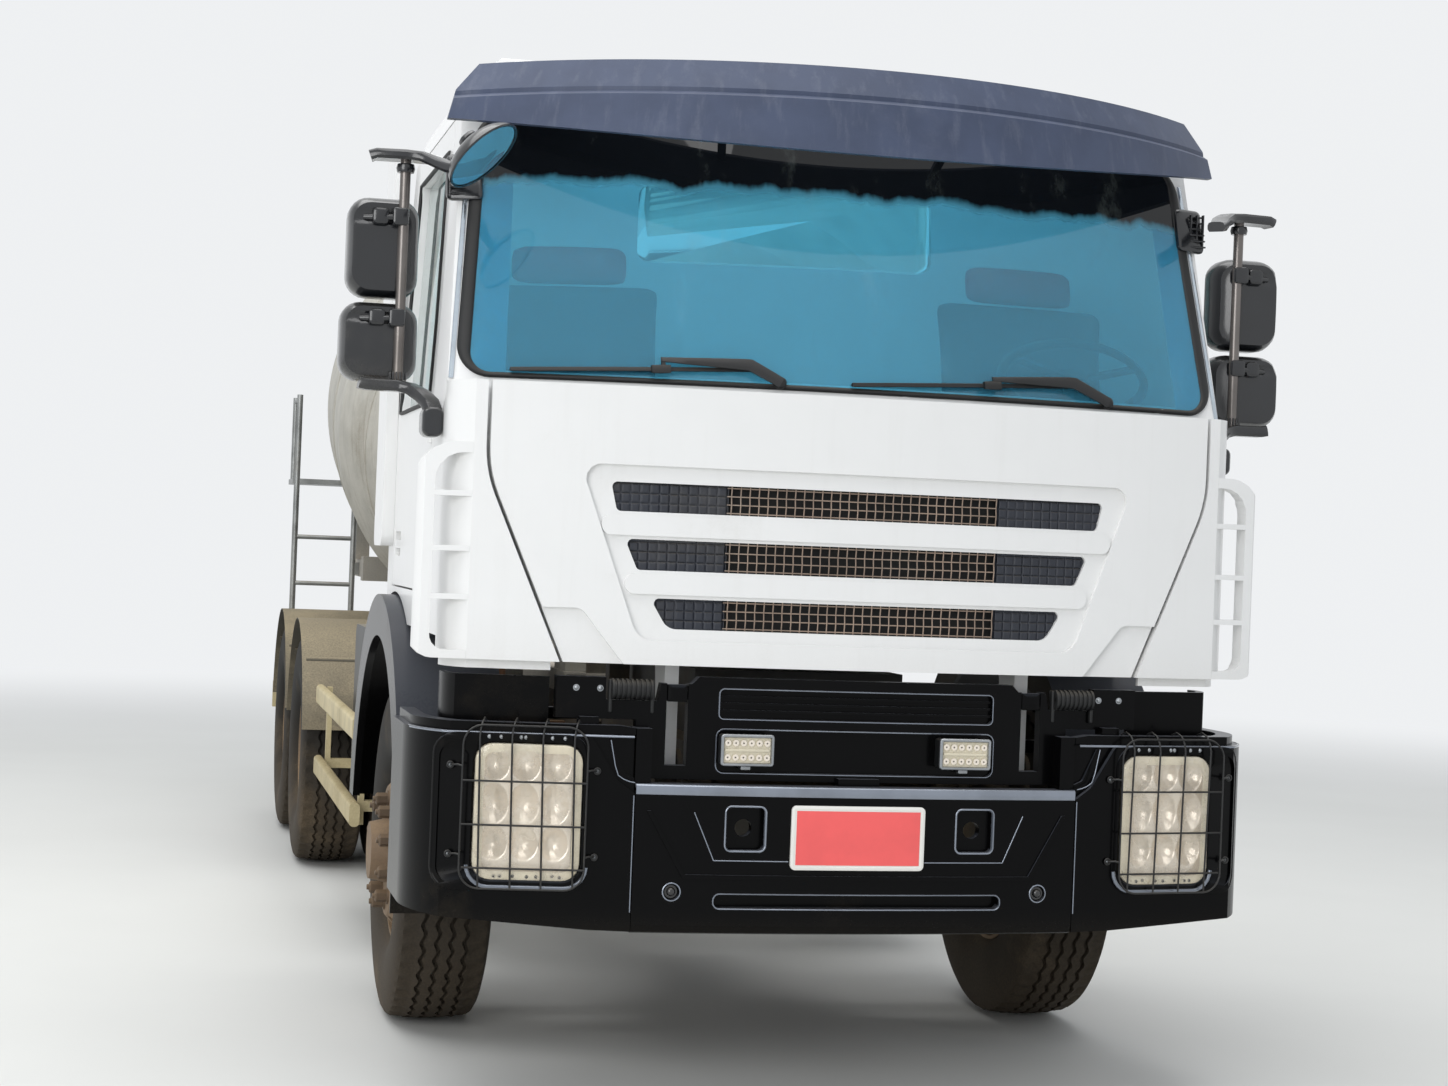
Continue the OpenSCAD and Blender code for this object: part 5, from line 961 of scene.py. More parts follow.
# %% Between the bumper and the cab
sleeves, covers_arm = [], []
for side in (-1, 1):
    profile = [(8, -56)]
    for k in range(9):
        x = -54 + k * 13.5
        profile += [(25, x - 4.2), (29, x - 3.2), (29, x + 3.2), (25, x + 4.2)]
    profile += [(8, 56)]
    sleeves.append(turned(profile, (side * 650, -1372, 1166), (1, 0, 0), 40))
    for x in (590, 708):
        sleeves.append(block(side * x - 5, side * x + 5, -1376, -1350, 1100, 1192, 3))
    cover_box = (*span(side, 492, 548), 1134.0, 1183.0, 3.0)
    covers_arm.append(lip(cover_box, ((0.5, 12), (0.5, 1), (1.5, 0), (3, 0)), panel_y))
    covers_arm.append(cap(cover_box, 3, 0, panel_y, 1, 3.0))
    covers_arm.append(block(*span(side, 502, 538), -1372, -1288, 1136, 1176, 3))
piece("lock_sleeves", *joined(sleeves), rubber_black, "chassis", "black_gloss", 50)
piece("hinge_arm_covers", *joined(covers_arm), finish["black_gloss"], "cab", "black_gloss", 50)
print("lock sleeves and hinge covers")

# %% [markdown]
# ## Grille
# Behind the three slots lies a woven wire mesh in the middle and dark plastic with an embossed waffle pattern
# outside. Each wire passes over and under its neighbours, so its depth follows a cosine; a flat grid with a
# picture of wires would look painted on from the side.

# %% Grille
SLOTS = ((1657, 1738, 727), (1496, 1581, 683), (1335, 1419, 607))


def skin_y(x, depth=0.0):
    """Y of the white skin's middle, `depth` behind its face."""
    return -1412.0 + x * x / ARC + depth


mesh_half, pitch, depth_of_mesh, sway = 400.0, 26.0, 26.0, 2.0
woven = []
for z0, z1, _ in SLOTS:
    xs = np.arange(-mesh_half, mesh_half + 1, pitch / 2)
    count = int((z1 - z0) / pitch) + 1
    zs = [z0 - 6 + (i + 0.5) * (z1 - z0 + 12) / count for i in range(count)]
    for i, z in enumerate(zs):
        woven.append([(x, skin_y(x, depth_of_mesh) + sway * math.cos(math.pi * k + math.pi * i) * (k % 2), z)
                      for k, x in enumerate(xs)])
    for k, x in enumerate(xs):
        if k % 2:
            y = skin_y(x, depth_of_mesh)
            passes = [(x, y - sway * math.cos(math.pi * k + math.pi * i), z) for i, z in enumerate(zs)]
            woven.append([(x, y, z0 - 7), *passes, (x, y, z1 + 7)])
mesh_piece = wires("woven_grille", woven, 1.8, wire_rust, "flap", 6)
print("grille with", len(woven), "woven wires")

# %% [markdown]
# ## Waffle panels of the grille
# The outer ends of each slot are closed by a panel with raised cushions, 27 mm apart. A displacement texture
# could raise them, but here the height of each point is a formula, which stays sharp without a fine mesh
# everywhere and keeps the relief in the mesh itself.

# %% Waffle panels of the grille
cell, waffle = 27.0, []
for z0, z1, high_half in SLOTS:
    for side in (-1, 1):
        xs = np.linspace(mesh_half - 4, high_half + 8, 150)
        zs = np.linspace(z0 - 6, z1 + 6, 52)
        sheet = []
        for z in zs:
            row = []
            for x in xs:
                gx = abs(((x - mesh_half) / cell) % 1 - 0.5) * 2
                gz = abs(((z - z0 + 3) / cell) % 1 - 0.5) * 2
                bump_out = 5.0 * (1 - max(gx, gz) ** 6)
                row.append((side * x, skin_y(x, 29 - bump_out), z))
            sheet.append(row)
        waffle.append(grid(sheet, closed=False))
        wall = [[(side * mesh_half, skin_y(mesh_half, d), z) for z in (z0 - 6, z1 + 6)] for d in (24, 43)]
        waffle.append(grid(wall, closed=False))
waffle_piece = piece("grille_waffle", *joined(waffle), waffle_plastic, "flap", "black_wire", 50)
# a black sheet behind the slots hides the cab's wall; its near-black colour is painted shade for the dark space
# behind the grille
backs = []
for z0, z1, _ in SLOTS:
    xs = np.linspace(-mesh_half, mesh_half, 33)
    backs.append(grid([[(x, skin_y(x, 44 - (12 if z in (z0 - 7, z1 + 7) else 0)), z) for x in xs]
                       for z in (z0 - 7, z0 - 5, z1 + 5, z1 + 7)], closed=False))
piece("grille_backs", *joined(backs), painted_grille_shade, "flap", "black_wire")
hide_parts("grille_mesh")
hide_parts("grille_mesh")
print("waffle panels:", len(waffle) // 2)

# %% [markdown]
# ## Windscreen and its seal
# The real screen is a bonded pane that reaches over the pillars almost to the cab's corners, held by a black
# rubber profile. The pane is a thin slab bent to the cab's arc. The rubber is one profile swept round the
# pane's rounded outline, and a polished strip closes the gap between it and the corner.

# %% Windscreen and its seal
WALL_ARC, WALL_BACK, WALL_FOOT, RAKE = 4000.0, 2655.0, 1990.0, math.radians(17)
PANE_HALF, PANE_LOW, PANE_HIGH, PANE_MIDDLE = 1112, 2031, 2788, 2410
PANE_BACK, PANE_FACE = 1.5, 6


def screen_y(x, z, off=0.0):
    """Y of the cab's raked front wall, `off` millimetres in front of it."""
    r = WALL_ARC - max(0.0, z - WALL_FOOT) * math.tan(RAKE)
    return WALL_BACK - math.sqrt(r * r - x * x) - off


def lean(z):
    """How much narrower the pane is at a height, because its sides lean in towards the roof."""
    return 1 - 0.0675 * (z - 2030) / 1000


def screen_loop(out_x, out_z, r):
    """The pane's outline, grown sideways and upwards."""
    box = (-PANE_HALF - out_x, PANE_HALF + out_x, PANE_LOW - out_z, PANE_HIGH + out_z)
    return [(x * lean(z), z) for x, z in loop(*box, r, 0, 40, 10)]


def pane(outline, off, rings=24):
    """A plate inside the outline that follows the wall's arc."""
    out = []
    for s in (1 - k / rings for k in range(rings)):
        points = [(x * s, PANE_MIDDLE + (z - PANE_MIDDLE) * s) for x, z in outline]
        out.append([(x, screen_y(x, z, off), z) for x, z in points])
    return fan(out, (0, screen_y(0, PANE_MIDDLE, off), PANE_MIDDLE))


outline = screen_loop(4, 3, 62)
rim = grid([[(x, screen_y(x, z, off), z) for x, z in outline] for off in (PANE_BACK, PANE_FACE)])
screen = piece("screen_pane", *joined([pane(outline, PANE_FACE), pane(outline, PANE_BACK), rim]),
               finish["cab_glass"], "cab", "cab_glass", 60)
rear_pane = part_of("cab_glass", "rear_pane", lambda x, y, z: y > -900, finish["cab_glass"], "cab")
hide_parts("cab_glass")
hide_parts("cab_glass")
rings = []
for out_x, out_z, off in ((-2, -2, 5), (1, 0, 9), (9, 4, 13), (24, 9, 12), (33, 13, 7), (36, 14, 0), (-2, -2, 5)):
    rings.append([(x, screen_y(x, z, off), z) for x, z in screen_loop(out_x, out_z, 60 + out_x)])
piece("screen_seal", *grid(rings), rubber_black, "cab", "black_plastic", 50)
strips = []
for side in (-1, 1):
    row = []
    for z in np.linspace(2012, 2740, 24):
        edge = PANE_HALF * lean(z) + 38
        row.append([(side * x, screen_y(x, z, off), z) for x, off in
                    ((edge, 0.5), (edge + 1, 4), (edge + 7, 5), (edge + 13, 4), (edge + 14, 0.5))])
    strips.append(grid(row, closed=False))
piece("pillar_strips", *joined(strips), pillar_chrome, "cab", "cab_white", 50)
print("screen, seal and pillar strips")

# %% [markdown]
# ## Wipers
# Each wiper is a flat cranked arm on a capped pivot, and a blade: a steel back, a rubber lip that touches the
# pane and a clip. The arm and the back are straps, whose section is a flat rectangle along a path of points.
# A strap's heights are counted from the bent screen, so the blade touches the pane all along.


# %% Wipers
def strap(path, off0, off1, surface):
    """A flat bar along (x, z, width) points, between two heights above a surface."""
    rings = []
    for i, (x, z, w) in enumerate(path):
        a, b = path[max(i - 1, 0)], path[min(i + 1, len(path) - 1)]
        along = Vector((b[0] - a[0], b[1] - a[1])).normalized()
        nx, nz = -along.y * w / 2, along.x * w / 2
        ring = []
        for s, off in ((1, off0), (1, off1 - 1.5), (0.8, off1), (-0.8, off1), (-1, off1 - 1.5), (-1, off0)):
            px, pz = x + nx * s, z + nz * s
            ring.append((px, surface(px, pz, off), pz))
        rings.append(ring)
    return grid(rings, caps=True)


def between(a, b, count):
    """Evenly spaced points from one to another."""
    return [tuple(p + (q - p) * k / (count - 1) for p, q in zip(a, b)) for k in range(count)]


arms, blades, clips = [], [], []
for pivot, elbow, knee, right_end, left_end in (
        ((-251, 2036), (-337, 2082), (-589, 2086), (-317, 2070), (-1000, 2042)),
        ((761, 2036), (650, 2087), (382, 2082), (675, 2079), (-42, 2042))):
    arms.append(turned([(0.5, 30), (12, 29), (17, 24), (19, 10), (19, -2), (0.5, -2)],
                       (pivot[0], screen_y(pivot[0], pivot[1]), pivot[1]), (0, -1, 0)))
    crank = between((*pivot, 30), (*elbow, 34), 5)
    taper = between((elbow[0] - 20, elbow[1] + 1, 32), (*knee, 13), 9)
    arms.append(strap(crank + taper, 26, 36, screen_y))
    blades.append(strap(between((*right_end, 12), (*left_end, 12), 22), 15, 24, screen_y))
    blades.append(strap(between((*right_end, 5), (*left_end, 5), 22), 5.5, 16, screen_y))
    share = (knee[0] - right_end[0]) / (left_end[0] - right_end[0])
    cz = right_end[1] + (left_end[1] - right_end[1]) * share
    clips.append(strap([(knee[0] + 26, cz + 1, 22), (knee[0], cz, 24), (knee[0] - 26, cz - 1, 22)], 21, 38, screen_y))
    clips.append(strap([(knee[0] + 8, cz, 12), (knee[0] + 6, knee[1], 12)], 26, 34, screen_y))
wiper_arms = piece("wiper_arms", *joined(arms), finish["black_plastic"], "cab", "black_plastic", 40)
wiper_blades = piece("wiper_blades", *joined(blades + clips), rubber_black, "cab", "black_plastic", 40)
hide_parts("wipers")
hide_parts("wipers")
print("wipers")

# %% [markdown]
# ## Mirrors
# Two housings hang on a steel tube beside each pillar. A housing is one moulding: rounded rings, a face with a
# bevel and a recessed band for the clamp, and a silvered glass that faces backwards. The tube ends in flat
# paddles, and a round dished mirror looks down on the right-hand corner. A housing could be a subdivided box,
# but rings that grow from its middle let a formula give the bevel and the band.

# %% Mirrors
HOUSINGS = ((1238, 1443, 2245, 2530, 58), (1232, 1455, 2005, 2230, 56))
HOUSING_FRONT, TUBE_X, TUBE_Y, TEETH = -990, 1290, -998, 14
HIGH_PADDLE = [(1392, -1004, 2640, 62), (1376, -1006, 2646, 78), (1290, -1004, 2648, 84), (1236, -1020, 2644, 76),
               (1200, -1060, 2626, 60), (1172, -1110, 2606, 54), (1146, -1142, 2598, 52)]
LOW_PADDLE = [(1400, -1010, 1996, 40), (1380, -1008, 1992, 56), (1290, -1000, 1992, 64), (1250, -1016, 1984, 62),
              (1222, -1046, 1966, 58), (1204, -1080, 1944, 56), (1196, -1094, 1920, 54)]
PADDLE_SECTION = ((1, -0.5), (1, 0.3), (0.86, 0.8), (0.5, 1), (-0.5, 1), (-0.86, 0.8), (-1, 0.3), (-1, -0.5),
                  (-0.8, -1), (0.8, -1))


def housing_face(x, z, box, side):
    """How far the housing's face lies behind its foremost plane: a bevel outside and a band near the top."""
    x0, x1, z0, z1 = box
    u, v = (side * x - x0) / (x1 - x0), (z - z0) / (z1 - z0)
    deep = 10 * ((v - 0.45) / 0.55) ** 2 + max(0.0, 0.26 - u) * 120
    return deep + (7 if 0.74 < v < 0.86 and u > 0.3 else 0)


def housing(side, x0, x1, z0, z1, r):
    """A housing's shell: its face in rings from the middle outwards, then the wall back to the glass."""
    a, b = span(side, x0, x1)
    cx, cz, rings = (a + b) / 2, (z0 + z1) / 2, []
    edge = loop(a, b, z0, z1, r, 0, 10, 6)
    for s in [0.02] + [k / 16 for k in range(1, 15)] + [0.94, 0.98, 1.0]:
        drop = 46 * max(0.0, (s - 0.84) / 0.16) ** 2.4
        relief = 1 - max(0, s - 0.8) * 2.5
        points = [(cx + (x - cx) * s, cz + (z - cz) * s) for x, z in edge]
        rings.append([(x, HOUSING_FRONT + housing_face(x, z, (x0, x1, z0, z1), side) * relief + drop, z)
                      for x, z in points])
    for inset, y in ((0, -885), (3, -870), (9, -867), (12, -874)):
        rings.append([(x, y, z) for x, z in loop(a, b, z0, z1, r, inset, 10, 6)])
    return grid(rings, caps=True)


def paddle(side, path, half_z):
    """A flat arm along (x, y, z, width) points."""
    rings = []
    for i, (x, y, z, w) in enumerate(path):
        p, q = path[max(i - 1, 0)], path[min(i + 1, len(path) - 1)]
        along = Vector((q[0] - p[0], q[1] - p[1], q[2] - p[2])).normalized()
        across = along.cross(Vector((0, 0, 1))).normalized()
        rise = across.cross(along)
        points = [Vector((x, y, z)) + across * w / 2 * c + rise * half_z * s for c, s in PADDLE_SECTION]
        rings.append([(side * p.x, p.y, p.z) for p in points])
    return grid(rings, caps=True)


print("a mirror housing has", len(housing(1, *HOUSINGS[0])[0]), "points")

# %% [markdown]
# ## Mirrors on their tubes
# On the truck the housings are clamped to the tube, a toothed collar holds it below, and ribbed plates carry
# it on the pillar. All small parts are rounded blocks, tubes and turned outlines at measured places. They end
# up in one mesh, because they share a finish and never move against each other.

# %% Mirrors on their tubes
mould, glasses, tubes, small = [], [], [], []
for side in (-1, 1):
    for x0, x1, z0, z1, r in HOUSINGS:
        mould.append(housing(side, x0, x1, z0, z1, r))
        glasses.append(cap((*span(side, x0, x1), z0, z1, r), 12.5, -875.5, flat_at(0.0), 1, -4.0))
        clamp_z = z0 + (z1 - z0) * 0.8
        small.append(block(*span(side, 1276, 1322), -1018, -970, clamp_z - 26, clamp_z + 26, 7))
        small.append(block(*span(side, 1330, 1378), -1004, -968, clamp_z - 24, clamp_z + 24, 9))
        small.append(tube([(side * TUBE_X, -1000, clamp_z), (side * 1350, -994, clamp_z - 4),
                           (side * 1400, -976, clamp_z - 4)], 9))
    tubes.append(tube([(side * TUBE_X, TUBE_Y, z) for z in (1990, 2150, 2400, 2636)], 15, 20))
    small.append(turned([(15.5, -16), (24, -16), (27, -4), (24, 8), (15.5, 10)], (side * TUBE_X, TUBE_Y, 2616),
                        (0, 0, 1), 24))
    for k in range(TEETH):
        t = 2 * math.pi * k / TEETH
        x, y = side * TUBE_X + 23 * math.cos(t), TUBE_Y + 23 * math.sin(t)
        small.append(block(x - 2, x + 2, y - 2, y + 2, 2008, 2030, 0.8))
    small.append(paddle(side, HIGH_PADDLE, 15))
    small.append(paddle(side, LOW_PADDLE, 17))
    small.append(closed_lip((*span(side, 1169, 1229), 1846, 1930, 22),
                            ((7, -1138), (2, -1133), (0, -1126), (0, -1050), (4, -1044)), 3, 5))
    a, b = span(side, 1070, 1172)
    small.append(grid([[(x, screen_y(x, z) + d, z) for x, z in loop(a, b, 2530, 2668, 18, inset, 3, 4)]
                       for inset, d in ((0, 4), (0, -10), (4, -18), (12, -22))], caps=True))
    for z in (2546 + k * 19 for k in range(6)):
        y = screen_y(1140, z)
        small.append(block(*span(side, 1118, 1166), y - 30, y - 16, z, z + 5, 1))
    y = screen_y(1140, 2590)
    for x in (1120, 1140, 1160):
        small.append(block(*span(side, x, x + 5), y - 29, y - 16, 2540, 2650, 1))
aim = Vector((0.62, -0.34, -0.70)).normalized()
eye = Vector((-1128, -1362, 2618))
mould.append(turned([(0.5, -38), (30, -36), (66, -27), (96, -12), (112, 4), (118, 16), (116, 20), (110, 19)],
                    eye, aim, 48))
glasses.append(turned([(110.5, 17), (80, 21), (40, 24), (0.5, 25)], eye, aim, 48))
small.append(tube([(-1150, -1190, 2604), (-1156, -1240, 2598), (-1150, -1300, 2600), eye - aim * 30], 17, 14))
small.append(turned([(0.5, 0), (26, 2), (30, 12), (24, 24), (0.5, 26)], eye - aim * 58, aim, 24))
housings = piece("mirror_housings", *joined(mould), mirror_black, "cab", "black_plastic", 40)
tubes_piece = piece("mirror_tubes", *joined(tubes), mirror_tube, "cab", "black_plastic", 50)
brackets = piece("mirror_brackets", *joined(small), mirror_black, "cab", "black_plastic", 35)
piece("mirror_glasses", *joined(glasses), silver_glass, "cab", "black_plastic", 50)
for part in (housings, tubes_piece, brackets):
    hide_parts("mirrors")
print("mirrors with", len(glasses), "glasses")

# %% [markdown]
# ## Painted edge highlights on the black parts
# Along the bumper's upper edge, the corners' ledges and the pockets, the rounded edges of the black plastic catch
# the light as blue-grey lines. These lines are painted highlights: ribbons and thin bars of a pale metallic finish
# laid on the surface. A mask in the paint would need to know each edge; a strip is simply where the edge is.


# %% Painted edge highlights on the black parts
def ribbon(xs, section, side=1):
    """A strip along X on the bumper: section is a list of (z, millimetres in front of the surface)."""
    return grid([[(side * x, nose_y(x, off=o), z) for z, o in section] for x in xs], closed=False)


shine = [ribbon(np.linspace(-640, 640, 60), ((884, 0.3), (887, 1.6), (906, 1.6), (912, -2.5), (913, -8)))]
edges = []
for side in (-1, 1):
    shine.append(ribbon(np.linspace(650, 1242, 60), ((1037, 0.2), (1038.5, 1.2), (1041, 0.6), (1043, -5)), side))
    seam = ((645, 915), (660, 918), (676, 924), (691, 934), (700, 960), (708, 1000), (714, 1030))
    for points, off in ((seam, 1.0), (between((646, 560), (646, 880), 12), 1.0),
                        (between((420, 706), (478, 838), 8), 1.5)):
        edges.append([(side * x, nose_y(x, off=off), z) for x, z in points])
edges.append([(x, nose_y(x, off=1.5), 706) for x in np.linspace(184, 420, 12)])
edges.append([(-x, nose_y(x, off=1.5), 706) for x in np.linspace(210, 420, 12)])
# painted highlights: pale metallic ribbons and lines where the edges catch the light
piece("bumper_edge_shine", *joined(shine), painted_edge_highlight, "chassis", "black_gloss", 60)
wires("bumper_edge_lines", edges, 1.7, painted_edge_highlight, "chassis")
print("painted edge highlights")

# %% [markdown]
# ## Seats
# A seat is a foam pad in a sewn cover, so each pad is inflated: a rounded block, slightly too small, is
# remeshed, swells as cloth under pressure, and stops at a cap. The covers of the heads are red cloth.


# %% Seats
VOXEL, PRESSURE, FRAMES = 0.018, 4.0, 20
LEAN = math.radians(80)
SEAT_X, BACK_FOOT, BACK_LENGTH = 610, (-68, 1612), 560


def stuffed(name, verts, faces, swell, material, fill):
    """No point moves further than `swell` millimetres."""
    mesh = bpy.data.meshes.new(name + "_start")
    mesh.from_pydata([tuple(v) for v in place(verts)], [], [tuple(f) for f in faces])
    obj = shown(name + "_start", mesh)
    even = obj.modifiers.new("even", "REMESH")
    even.mode, even.voxel_size = "VOXEL", VOXEL
    fine = applied(obj)
    bpy.data.objects.remove(obj)
    obj = shown(name + "_cloth", fine)
    start = np.array([v.co[:] for v in fine.vertices])
    cloth = obj.modifiers.new("cloth", "CLOTH")
    cloth.settings.use_pressure = True
    cloth.settings.uniform_pressure_force = PRESSURE
    cloth.settings.effector_weights.gravity = 0.0
    cloth.point_cache.frame_start, cloth.point_cache.frame_end = 1, FRAMES
    for f in range(1, FRAMES + 1):
        bpy.context.scene.frame_set(f)
    move = np.array([v.co[:] for v in applied(obj).vertices]) - start
    far = np.linalg.norm(move, axis=1, keepdims=True)
    move *= np.minimum(1.0, swell / 1000 / np.maximum(far, 1e-9))
    obj.modifiers.remove(cloth)
    bpy.context.scene.frame_set(1)
    for v, p in zip(fine.vertices, start + move):
        v.co = p
    smooth = obj.modifiers.new("smooth", "SUBSURF")
    smooth.levels = smooth.render_levels = 1
    final = applied(obj)
    bpy.data.objects.remove(obj)
    made = settle(name, final, material, "cab", 80)
    return made


def pad_block(x, at, along, out, length, thick, half, r):
    """A rounded block whose side outline lies in the (y, z) plane."""
    rings = []
    for inset, dx in ((r, -half), (r * 0.3, -half + r * 0.3), (0, -half + r), (0, half - r),
                      (r * 0.3, half - r * 0.3), (r, half)):
        rings.append([(x + dx, at[0] + along[0] * u + out[0] * v, at[1] + along[1] * u + out[1] * v)
                      for u, v in loop(0, length, 0, thick, r * 1.5, inset, 3, 4)])
    return grid(rings, caps=True)


seats, stands = [], []
rise, out = (math.cos(LEAN), math.sin(LEAN)), (-math.sin(LEAN), math.cos(LEAN))
# a head stands on the end of its back, so its foot lies along the lean, 4 mm below that end
head_foot = (BACK_FOOT[0] + 0.1736 * (BACK_LENGTH - 4), BACK_FOOT[1] + 0.9848 * (BACK_LENGTH - 4))
for side, hand in ((-1, "right"), (1, "left")):
    x = side * SEAT_X
    pads = (("cushion", (x, (-586, 1613), (1, 0), (0, 1), 500, 112, 236, 22), finish["seat_fabric"]),
            ("back", (x, BACK_FOOT, rise, out, BACK_LENGTH, 100, 236, 22), finish["seat_fabric"]),
            ("head", (x, head_foot, rise, out, 118, 92, 150, 20), red_cloth))
    for kind, shape, material in pads:
        seats.append(stuffed(f"seat_{kind}_{hand}", *pad_block(*shape), 12, material, 0.8))
    stands.append(block(x - 200, x + 200, -520, -100, 1350, 1440, 10))
    stands += [block(x - 180, x + 180, -500, -120, 1438 + 20 * k, 1454 + 20 * k, 7) for k in range(6)]
    stands.append(block(x - 215, x + 215, -545, -95, 1556, 1602, 12))
stand = piece("seat_bases", *joined(stands), finish["dash_plastic"], "cab", "dash_plastic")
for part in seats + [stand]:
    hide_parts("seats")
print("seats with", len(seats), "pads")

# %% [markdown]
# ## Touching the CAD surfaces
# Nuts, beads and seals have to sit on what carries them. `touch` sends a ray at a CAD node and gives the place
# and the way the surface faces there, so nothing floats and nothing sinks in.

# %% Touching the CAD surfaces
from mathutils.bvhtree import BVHTree

trees = {}


def touch(node, start, aim):
    """Where a ray from `start` along `aim` meets a CAD node: the place, in millimetres, and the normal."""
    if node not in trees:
        mesh = frame["nodes"][node].data
        trees[node] = BVHTree.FromPolygons([v.co[:] for v in mesh.vertices], [p.vertices[:] for p in mesh.polygons])
    aim = Vector(aim).normalized()
    hit, normal, _, _ = trees[node].ray_cast(Vector(place([start])[0]), aim)
    if hit is None:
        return None, None
    if normal.dot(aim) > 0:
        normal = -normal
    return (hit.x * 1000, (hit.y - AXLE_Y) * 1000, hit.z * 1000), tuple(normal)


print("the rail's face:", [round(v) for v in touch("frame", (475, 2000, 860), (-1, 0, 0))[0]])

# %% [markdown]
# ## Wheel nuts and hubs
# Ten nuts on studs hold each wheel. They cover the plain nuts of the CAD model, whose places are read from the
# mesh, so that a nut never stands beside its hole. A ring of smaller bolts closes each hub. One node tree makes
# a nut, and its sizes are inputs, so the rails can use it too.

# %% Wheel nuts and hubs
NUTS, NUT_CIRCLE, NUT_R, NUT_TALL = 10, 167, 17.5, 39
HUB_BOLTS, HUB_CIRCLE = 8, 92
made_nuts = 0
for hand, kind in ((h, k) for h in ("right", "left") for k in ("front_rim", "rear_wheel_1", "rear_wheel_2")):
    node = f"{kind}_{hand}"
    body = "front_wheel_" + hand if kind == "front_rim" else node
    side = 1 if hand == "left" else -1
    _, cy, cz = middle(node)
    mesh = frame["nodes"][node].data
    pts = np.array([v.co[:] for v in mesh.vertices]) * 1000
    pts[:, 1] -= AXLE_Y * 1000
    r = np.hypot(pts[:, 1] - cy, pts[:, 2] - cz)
    band = pts[(r > NUT_CIRCLE - NUT_R) & (r < NUT_CIRCLE + NUT_R)]
    tip = (band[:, 0] * side).max()
    ends = band[band[:, 0] * side > tip - 0.6]
    turn = np.arctan2(ends[:, 2] - cz, ends[:, 1] - cy)
    first = np.angle(np.exp(1j * NUTS * turn).mean()) / NUTS
    places = [(side * (tip - NUT_TALL), cy + NUT_CIRCLE * math.cos(first + a), cz + NUT_CIRCLE * math.sin(first + a))
              for a in (2 * math.pi * k / NUTS for k in range(NUTS))]
    grown("wheel_nuts_" + node, places, hex_nut, {"radius": 0.0205, "height": 0.041, "stud": 0.3}, nut_steel, body,
          (side, 0, 0))
    hub = []
    for k in range(HUB_BOLTS):
        a = 2 * math.pi * (k + 0.5) / HUB_BOLTS
        start = (side * 1400, cy + HUB_CIRCLE * math.cos(a), cz + HUB_CIRCLE * math.sin(a))
        spot, facing = touch(node, start, (-side, 0, 0))
        if spot and facing[0] * side > 0.9:
            hub.append((spot[0] - side * 0.5, spot[1], spot[2]))
    if hub:
        grown("hub_bolts_" + node, hub, dome_bolt, {"radius": 0.011, "height": 0.01}, nut_steel, body,
              (side, 0, 0))
    made_nuts += NUTS + len(hub)
print("wheel nuts and hub bolts:", made_nuts)

# %% [markdown]
# ## Drum
# The drum is rolled from plates: weld beads run round it where two rings of plate meet. Inside the mouth the
# two mixing blades begin; they are sheets that follow a helix along the drum's wall. The drum tapers both ways,
# so rays find the wall and no radius is written down.

# %% Drum
DRUM_TILT, DRUM_Y, DRUM_Z = math.radians(12), 4700, 2165
SEAMS = (-1500, -760, 60, 800, 1120, 1800, 2180)
MOUTH, BLADE_RUN, BLADE_TURNS, STEPS = 2235, 720, 0.9, 72
axis_y, axis_z = math.cos(DRUM_TILT), math.sin(DRUM_TILT)


def along_drum(s, r, a):
    """A point at distance `s` along the drum's axis from its middle, `r` from the axis, at angle `a`."""
    across, up = r * math.cos(a), r * math.sin(a)
    return (across, DRUM_Y + s * axis_y - up * axis_z, DRUM_Z + s * axis_z + up * axis_y)


beads = []
for s in SEAMS:
    path = []
    for a in (2 * math.pi * k / 120 for k in range(121)):
        start, centre = Vector(along_drum(s, 1500, a)), Vector(along_drum(s, 0, a))
        spot, _ = touch("drum", start, centre - start)
        if spot:
            path.append(tuple(Vector(spot) + (start - centre).normalized()))
    if len(path) == 121:
        beads.append(path)
blades_in = []
for turn_from in (0.4, 0.4 + math.pi):
    rings = []
    for k in range(STEPS + 1):
        s = MOUTH - BLADE_RUN * k / STEPS
        a = turn_from + 2 * math.pi * BLADE_TURNS * k / STEPS
        centre = Vector(along_drum(s, 0, a))
        spot, _ = touch("drum", centre, Vector(along_drum(s, 100, a)) - centre)
        if spot:
            r = (Vector(spot) - centre).length
            tall = 40 + 90 * min(1.0, k / 20)
            rings.append([along_drum(s - 3, r - 0.5, a), along_drum(s - 3 - tall * 0.15, r - tall, a),
                          along_drum(s + 3 - tall * 0.15, r - tall, a), along_drum(s + 3, r - 0.5, a)])
    blades_in.append(grid(rings, caps=True))
piece("drum_blades", *joined(blades_in), finish["drum_paint"], "drum", "drum_paint", 30)
wires("drum_weld_beads", beads, 5.0, finish["drum_paint"], "drum", 8)
print("drum with", len(beads), "weld beads and 2 blades")

# %% [markdown]
# ## Bolts along the rails, and seals round the door windows
# The chassis rails are full of flanged bolts in pairs. Each door window has a black rubber profile. Rays leave
# out a bolt where something hides the rail, and lay the rubber on the door's bent skin.

